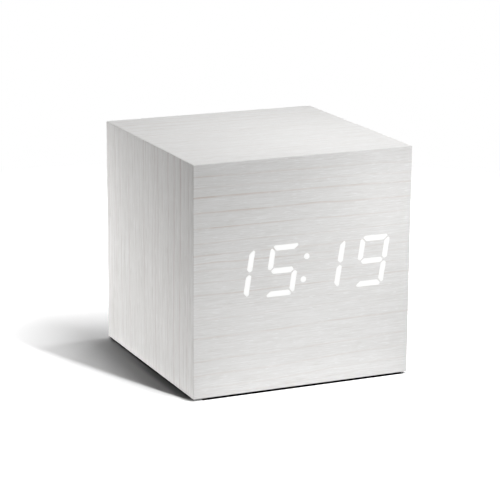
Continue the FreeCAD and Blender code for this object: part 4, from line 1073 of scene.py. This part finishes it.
@dataclass
class MainBoard(SubAssembly):
    """The main circuit board, what stands on it, and the cable to the display."""

    bead_reach: float = 1.2
    bead_colour: Colour = (0.12, 0.05, 0.02)
    capacitor_rim: float = 0.12

    def build(self) -> None:
        """Dresses the main board's solids."""
        low, high = self.corners("main_board")
        split = self.corners("capacitor")[0].y + self.capacitor_rim
        bead = self.corners("thermistor")[0].y + self.bead_reach
        mic = self.corners("microphone")[0].y
        left = self.corners("ribbon_cable")[0].x
        self.dress(
            {
                "main_board": CircuitLaminate("main_laminate", low=low.y, high=high.y),
                "main_spacers": MouldedPlastic("main_spacer_nylon", (0.66, 0.65, 0.6), 0.4, 0.01, 4.0),
                "main_screws": PlatedMetal("main_screw_zinc", (0.6, 0.6, 0.62), 0.32),
                "switch_bases": MouldedPlastic("switch_base", (0.024, 0.024, 0.026), 0.5, 0.02, 4.0),
                "switch_covers": PlatedMetal("switch_cover", (0.63, 0.62, 0.6), 0.28),
                "clock_chip": self.chip("clock_chip"),
                "buzzer": MouldedPlastic("buzzer_case", (0.02, 0.02, 0.021), 0.45, 0.02, 3.0),
                "microphone": TwoToneCan("microphone_can", (0.62, 0.62, 0.63), (0.5, 0.5, 0.5), mic),
                "quartz_can": PlatedMetal("quartz_can", (0.68, 0.68, 0.69), 0.22),
                "capacitor": TwoToneCan("capacitor_sleeve", split=split),
                "thermistor": LeadedBody(
                    "thermistor_bead",
                    self.bead_colour,
                    axis=Axis.Y,
                    middle=bead,
                    half=self.bead_reach,
                    roughness=0.3,
                ),
                "ribbon_headers": MouldedPlastic("header_moulding", (0.6, 0.58, 0.5), 0.45, 0.015, 4.0),
                "ribbon_cable": StripedCable("ribbon_insulation", left=left),
                "battery_leads": MouldedPlastic("lead_insulation", (0.03, 0.03, 0.032), 0.4, 0.01, 5.0),
            }
        )


@dataclass
class BatteryBay(SubAssembly):
    """The tray with its contacts, the four cells, and the hinged door."""

    nub_radius: float = 1.9
    nub_height: float = 0.8
    nub_round: float = 0.3
    foot_dish: float = 0.12
    foot_width: float = 1.1
    foot_slope: float = 0.3
    can_round: float = 0.4
    seal_depth: float = 0.25
    seal_inner: float = 0.2
    seal_outer: float = 0.8
    film: float = 0.12
    shoulder: float = 0.5
    rolled_over: float = 0.9
    arrow_size: float = 2.6
    arrow_height: float = 0.12
    arrow_rim: float = 0.06
    arrow_steps: int = 160
    arrow_rounding: int = 3
    arrow_from_latch: float = 15.0
    sunk: float = 0.05
    cells: tuple[str, ...] = ("cell_1", "cell_2", "cell_3", "cell_4")

    def can_profile(self, radius: float, length: float) -> np.ndarray:
        """The bare can: a dished foot, a wall, a shoulder, and the nub with its rounded rim.

        Args:
            radius: Outer radius of the can.
            length: From the foot to the top of the nub.

        Returns:
            Rows of (radius, height), from the middle of the foot to the middle of the nub.
        """
        rim = length - self.nub_height
        bend, nub = self.can_round, self.nub_radius
        dish = radius - self.foot_width - self.foot_slope
        foot = [(0, self.foot_dish), (dish, self.foot_dish), (radius - self.foot_width, 0.0)]
        heel = quarter_round((radius - bend, bend), bend, -1)
        neck = quarter_round((radius - bend, rim - bend), bend, 0)
        seal = [
            (nub + self.seal_outer + self.seal_inner, rim),
            (nub + self.seal_outer, rim - self.seal_depth),
            (nub + self.seal_inner, rim - self.seal_depth),
            (nub, rim - self.seal_inner / 2),
        ]
        top = quarter_round((nub - self.nub_round, length - self.nub_round), self.nub_round, 0)
        return np.concatenate([foot, heel, neck, seal, top, [(0, length)]])

    def sleeve_profile(self, radius: float, length: float) -> np.ndarray:
        """The film over the can, rolled over both shoulders, as a closed thin ring.

        Args:
            radius: Outer radius of the film.
            length: From the foot to the top of the nub.

        Returns:
            Rows of (radius, height) round the film's section, the last on the first.
        """
        rim = length - self.nub_height
        bend = self.shoulder
        edge = radius - bend - self.rolled_over
        low = quarter_round((radius - bend, bend), bend, -1)
        high = quarter_round((radius - bend, rim - bend), bend, 0)
        outer = np.concatenate([[(edge, 0.0)], low, high, [(edge, rim)]])
        inner_radius = np.maximum(outer[:, 0] - self.film * (outer[:, 0] > radius - bend), 0)
        inner_height = np.clip(outer[:, 1], self.film / 2, rim - self.film / 2)
        inner = np.stack([inner_radius, inner_height], axis=1)[::-1]
        return np.concatenate([outer, inner, outer[:1]])

    def make_cells(self) -> None:
        """Builds each cell as a steel can in a printed sleeve, in place of its solid."""
        steel = PlatedMetal("cell_steel", (0.72, 0.71, 0.69), 0.22, (3.0, 3.0, 3.0), 0.05)
        sleeve = ShrinkSleeve("cell_sleeve")
        for index, node in enumerate(self.cells):
            low, high = self.corners(node)
            way = -1 if index % 2 == 0 else 1
            base = Vector(((low.x + high.x) / 2, high.y if way < 0 else low.y, (low.z + high.z) / 2))
            axis = Vector((0, way, 0))
            radius, length = (high.x - low.x) / 2, high.y - low.y
            can = turned_surface(self.can_profile(radius - self.film, length), base, axis)
            film = turned_surface(self.sleeve_profile(radius, length), base, axis)
            shell = self.add(mesh_piece(node + "_can", can), steel, "case", "cell")
            self.add(mesh_piece(node + "_sleeve", film), sleeve, "case", "cell")
            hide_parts(node)

    def make_arrow(self, finish: Finish) -> None:
        """Raises an arrow on the door that points to the latch."""
        low, high = self.corners("battery_door")
        right = [(0.9, 0.05), (0.36, 0.05), (0.36, -0.9)]
        left = [(-x, y) for x, y in reversed(right)]
        corners = self.arrow_size * np.array([(0.0, 1.0), *right, *left])
        loop = smoothed_loop(corners, self.arrow_steps, self.arrow_rounding)
        pad = raised_pad(loop, self.arrow_height, self.arrow_rim, self.sunk)
        origin = Vector((0.0, high.y - self.arrow_from_latch, low.z))
        laid = on_plane(pad, origin, Vector((-1, 0, 0)), Vector((0, 1, 0)))
        self.add(mesh_piece("door_arrow", laid), finish, "battery_door", "case_moulding")

    def build(self) -> None:
        """Dresses the bay, builds the cells and marks the door."""
        moulding = MouldedPlastic("bay_moulding", (0.70, 0.69, 0.67), 0.5)
        nickel = PlatedMetal("nickel_plating", (0.70, 0.68, 0.63), 0.24, DRAWN_ALONG_Z)
        self.dress({"battery_tray": moulding, "battery_door": moulding, "battery_contacts": nickel})
        self.make_cells()
        self.make_arrow(moulding)


# Studio

FRONT_RIGHT = (0.353, -0.936, 0.0)
UPWARDS = (0.0, 0.0, 1.0)
CLOCK_FOOT = (0.0, 0.0, 0.0)
GROUND_LAMP_SIZE = (0.25, 0.2)


class Lights(Enum):
    """What a lamp shines on."""

    ALL = "all"
    CLOCK = "clock"
    FLOOR = "floor"


@dataclass(frozen=True)
class AreaLamp:
    """A flat lamp: its name, place and aim in metres, its sides, brightness, and what it shines on."""

    name: str
    place: Triple
    aim: Triple
    size: tuple[float, float]
    brightness: float
    lights: Lights = Lights.ALL
    long_way: Triple = UPWARDS

    def make(self, floor: bpy.types.Object) -> None:
        """Makes the lamp, its second side lying as near as it can to its long way.

        Args:
            floor: The floor, which some lamps leave out and others alone reach.
        """
        lamp = bpy.data.lights.new(self.name, "AREA")
        lamp.shape = "RECTANGLE"
        lamp.size, lamp.size_y = self.size
        lamp.energy = self.brightness * math.pi * self.size[0] * self.size[1]
        out = (Vector(self.place) - Vector(self.aim)).normalized()
        side = Vector(self.long_way).cross(out).normalized()
        turn = Matrix((side, out.cross(side), out)).transposed().to_4x4()
        made = bpy.data.objects.new(self.name, lamp)
        made.matrix_world = Matrix.Translation(Vector(self.place)) @ turn
        made.visible_camera = False
        bpy.context.scene.collection.objects.link(made)
        if self.lights is not Lights.ALL:
            reached = bpy.data.collections.new(self.name + "_reach")
            reached.objects.link(floor)
            state = "INCLUDE" if self.lights is Lights.FLOOR else "EXCLUDE"
            reached.collection_objects[0].light_linking.link_state = state
            made.light_linking.receiver_collection = reached


def square_lamp(
    name: str,
    axis: Axis,
    place: Triple,
    brightness: float,
    size: tuple[float, float] = (0.03, 0.03),
    lights: Lights = Lights.CLOCK,
) -> AreaLamp:
    """A lamp that looks straight along one axis.

    Args:
        name: The lamp's name.
        axis: The axis that it looks along, towards the clock's middle plane or the floor.
        place: Where it stands, in metres.
        brightness: Its radiance.
        size: Its sides, in metres.
        lights: What it shines on.

    Returns:
        The lamp, its second side upright, or running to the front right if it looks down.
    """
    aim = tuple(0.0 if number == axis else part for number, part in enumerate(place))
    long_way = FRONT_RIGHT if axis is Axis.Z else UPWARDS
    return AreaLamp(name, place, aim, size, brightness, lights, long_way)


def ground_lamp(name: str, place: Triple, brightness: float) -> AreaLamp:
    """A wide lamp that lights only the floor and looks at the clock's foot."""
    return AreaLamp(name, place, CLOCK_FOOT, GROUND_LAMP_SIZE, brightness, Lights.FLOOR)


@dataclass(frozen=True)
class FloorFan:
    """The narrow upright fan of lamps that gives the shadow on the floor its straight, crisp edge.

    The lamps follow one another on a circle that rises from the floor, in front
    of the clock and a little to the right. Distances are in metres. At an
    elevation that lies d degrees from the hump, a lamp gives the floor even
    plus hump * exp(-(d / reach)^2), reach being shorter above the hump.
    """

    azimuth: float = 15.5
    distance: float = 0.55
    width: float = 0.02
    lowest: float = 6.0
    step: float = 8.0
    count: int = 11
    even: float = 262.0
    hump: float = 190.0
    hump_at: float = 49.5
    reach_below: float = 23.5
    reach_above: float = 18.0

    def brightness(self, elevation: float) -> float:
        """The radiance of the lamp at an elevation: a lower one lights the floor at a flatter slant."""
        away = elevation - self.hump_at
        reach = self.reach_below if away < 0 else self.reach_above
        given = self.even + self.hump * math.exp(-((away / reach) ** 2))
        return given / math.sin(math.radians(elevation))

    def lamps(self) -> list[AreaLamp]:
        """The lamps from the lowest up, all looking at the clock's foot."""
        turn = math.radians(self.azimuth)
        x, y = math.sin(turn), -math.cos(turn)
        size = (self.width, self.distance * math.radians(self.step))
        lamps = []
        for number in range(self.count):
            elevation = self.lowest + number * self.step
            brightness = self.brightness(elevation)
            level, rise = math.cos(math.radians(elevation)), math.sin(math.radians(elevation))
            place = tuple(self.distance * part for part in (x * level, y * level, rise))
            long_way = (-x * rise, -y * rise, level)
            name = f"floor_fan_{elevation:02.0f}"
            lamps.append(AreaLamp(name, place, CLOCK_FOOT, size, brightness, Lights.FLOOR, long_way))
        return lamps


@dataclass(frozen=True)
class PhotoCamera:
    """The camera: its place in millimetres, where it looks, and its long lens."""

    place: Triple = (-254.9, -564.1, 192.0)
    azimuth: float = -24.19
    elevation: float = 14.443
    roll: float = 0.36
    lens: float = 154.66
    sensor: float = 36.0
    nearest: float = 0.01

    def make(self) -> bpy.types.Object:
        """The camera, turned so that it looks back along (sin a cos e, -cos a cos e, sin e)."""
        a, e = math.radians(self.azimuth), math.radians(self.elevation)
        back = Vector((math.sin(a) * math.cos(e), -math.cos(a) * math.cos(e), math.sin(e)))
        right = Vector((0, 0, 1)).cross(back).normalized()
        turn = Matrix((right, back.cross(right), back)).transposed().to_4x4()
        data = bpy.data.cameras.new("photo_camera")
        data.lens, data.sensor_width = self.lens, self.sensor
        data.clip_start = self.nearest
        made = bpy.data.objects.new("photo_camera", data)
        spin = Matrix.Rotation(math.radians(self.roll), 4, "Z")
        made.matrix_world = Matrix.Translation(Vector(self.place) * MM) @ turn @ spin
        bpy.context.scene.collection.objects.link(made)
        return made


@dataclass
class Studio:
    """The white floor, the lamps, the surroundings and the camera.

    Small lamps that stand square to a face shade it without touching the others.
    Lamps that reach only the floor draw the shadow that falls to the left.
    """

    floor_reach: float = 6000.0
    near: float = 150.0
    far: float = 280.0
    half: float = 34.0
    # contact and left_contact fields: sizes of the painted contact shade round the case and of the painted
    # shadow on the left
    contact_reach: float = 1.2
    far_contact_light: float = 0.55
    far_contact_ease: float = 1.0
    left_contact_light: float = 0.5
    left_contact_reach: tuple[float, float] = (0.8, 3.4)
    left_contact_fades: tuple[float, float] = (-8.0, 22.0)
    left_starts: float = 3.0  # how far in from the left face
    left_front: tuple[float, float] = (-2.0, 1.0)  # on both sides of the front face
    seen_white: float = 0.15
    bounce: float = 0.04
    ambient: float = 0.03
    camera: PhotoCamera = PhotoCamera()
    lamps: tuple[AreaLamp, ...] = (
        square_lamp("overhead_strip", Axis.Z, (0.015885, -0.04212, 0.35), 50, (0.04, 0.09), Lights.ALL),
        *FloorFan().lamps(),
        ground_lamp("floor_right_low", (0.587, 0.0, 0.125), 98.5),
        ground_lamp("floor_right_high", (0.52, 0.0, 0.3), 106),
        ground_lamp("floor_back_right", (0.415, 0.415, 0.125), 89.9),
        ground_lamp("floor_back", (0.0, 0.344, 0.491), 30.9),
        ground_lamp("floor_front_right", (0.243, -0.243, 0.491), 191),
        square_lamp("front_low_left", Axis.Y, (-0.026, -0.1, 0.008), 5.11),
        square_lamp("front_low_right", Axis.Y, (0.026, -0.1, 0.008), 3.9),
        square_lamp("front_high_right", Axis.Y, (0.026, -0.1, 0.06), 2.71),
        square_lamp("front_corner", Axis.Y, (0.03, -0.06, 0.055), 1.22, (0.02, 0.02)),
        square_lamp("left_low_front", Axis.X, (-0.1, -0.026, 0.008), 3.54),
        square_lamp("left_low_back", Axis.X, (-0.1, 0.026, 0.008), 8.66),
        square_lamp("left_high_back", Axis.X, (-0.1, 0.026, 0.06), 2.67),
        square_lamp("top_front_right", Axis.Z, (0.026, -0.026, 0.134), 3.62),
        square_lamp("top_back_right", Axis.Z, (0.026, 0.026, 0.134), 1.64),
        square_lamp("front_skirt", Axis.Y, (0.0, -0.054, 0.004), 0.739, (0.07, 0.006)),
        square_lamp("left_skirt", Axis.X, (-0.054, 0.0, 0.004), 0.952, (0.07, 0.006)),
        square_lamp("left_rear", Axis.X, (-0.046, 0.036, 0.034), 1.51, (0.004, 0.068)),
        square_lamp("front_foot", Axis.Y, (0.0, -0.04, 0.0015), 0.897, (0.068, 0.002)),
        square_lamp("left_foot", Axis.X, (-0.038, 0.0, 0.001), 1.66, (0.068, 0.001)),
        square_lamp("right_side", Axis.X, (0.3, 0.0, 0.034), 30.9, (0.06, 0.06)),
        square_lamp("back_side", Axis.Y, (0.0, 0.22, 0.034), 15.6, (0.066, 0.066)),
    )

    def painted_contact_light(self, board: NodeBoard, place: Socket) -> Socket:
        """Painted contact shade: the share of the floor's seen white that is kept close to the case.

        With d the distance to the case's outline, the painted light is the square root
        of d over contact_reach. It stays above far_contact_light on the right
        and behind. On the left, where the lamps' shadow falls, a painted shadow
        only dips it, and less and less towards the back.

        Args:
            board: The nodes to add to.
            place: The floor's point, in millimetres.

        Returns:
            0 under the case, up to 1 away from it.
        """
        x, y, _ = board.axes(place)
        beside, before = (
            board.math("MAXIMUM", board.math("SUBTRACT", board.math("ABSOLUTE", part), self.half), 0.0)
            for part in (x, y)
        )
        distance = board.length(board.vector(beside, before, 0.0))
        plain = board.math("POWER", board.math("DIVIDE", distance, self.contact_reach, clamp=True), 0.5)
        ease = self.far_contact_ease
        behind = board.span(board.math("ADD", x, y), -ease, ease, 0.0, self.far_contact_light)
        plain = board.math("MAXIMUM", plain, behind)
        dip = board.span(distance, *self.left_contact_reach, self.left_contact_light, 1.0)
        dip = board.scale_to(board.span(y, *self.left_contact_fades), 0.0, 1.0, dip, 1.0)
        beyond = board.math("LESS_THAN", x, self.left_starts - self.half)
        front = board.span(y, *(part - self.half for part in self.left_front))
        return board.between(board.math("MULTIPLY", beyond, front), plain, dip)

    def make_floor(self) -> bpy.types.Object:
        """The floor, plain white further out and holding the clock's shadow near it, darkened there by
        painted contact shade.
        """
        points = self.floor_reach * np.array([(x, y, 0.0) for x in (-1, 1) for y in (-1, 1)])
        surface = Surface(points, grid_quads(2, 2, False, False), np.zeros(4))
        floor = mesh_piece("floor", surface)
        if floor.data.polygons[0].normal.z < 0:
            floor.data.flip_normals()
        white = bpy.data.materials.new("floor_white")
        floor.data.materials.append(white)
        board = NodeBoard(white)
        place = board.place()
        lit = board.node("LightPath", {}).outputs["Is Camera Ray"]
        # painted contact shade and painted shadow: the white that the camera sees is darkened near the case
        white_with_painted_shade = board.mix(self.painted_contact_light(board, place), (0.0,) * 3, (self.seen_white,) * 3)
        shade = board.mix(lit, (self.bounce,) * 3, white_with_painted_shade)
        cloth = board.node("BsdfDiffuse", {"Color": shade}).outputs[0]
        plain = board.node("Emission", {"Color": (1.0, 1.0, 1.0), "Strength": 1.0}).outputs[0]
        outwards = board.span(board.length(place), self.near, self.far)
        share = board.math("MULTIPLY", board.seen(), outwards)
        board.show(board.node("MixShader", {0: share, 1: cloth, 2: plain}).outputs[0])
        floor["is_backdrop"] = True
        return floor

    def make_world(self) -> None:
        """Surroundings that light the clock at the ambient level and look white."""
        world = bpy.data.worlds.new("surroundings")
        bpy.context.scene.world = world
        board = NodeBoard(world)
        strength = board.scale_to(board.seen(), 0.0, 1.0, self.ambient, 1.0)
        sky = board.node("Background", {"Color": (1.0, 1.0, 1.0), "Strength": strength})
        board.show(sky.outputs[0])

    def build(self) -> None:
        """Makes the floor, lamps, surroundings and camera."""
        floor = self.make_floor()
        self.make_world()
        for lamp in self.lamps:
            lamp.make(floor)
            log.info("lamp %s at %s", lamp.name, lamp.place)
        bpy.context.scene.camera = self.camera.make()
        bpy.context.scene.view_settings.view_transform = "Standard"


def write_sizes() -> None:
    """Works out the solids' box and the dressed clock's box, but writes neither.
    """
    boxes = {"cad": CAD_BOX, "visual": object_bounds()}
    boxes = {name: [list(corner) for corner in box] for name, box in boxes.items()}


def main() -> None:
    """Builds and dresses each sub-assembly in turn, and then the studio."""
    logging.basicConfig(level=logging.INFO, format="%(name)s: %(message)s")
    for part in (WoodCase(), Display(), BackPanel(), MainBoard(), BatteryBay()):
        part.build()
    Studio().build()
    write_sizes()


if __name__ == "__main__":
    main()
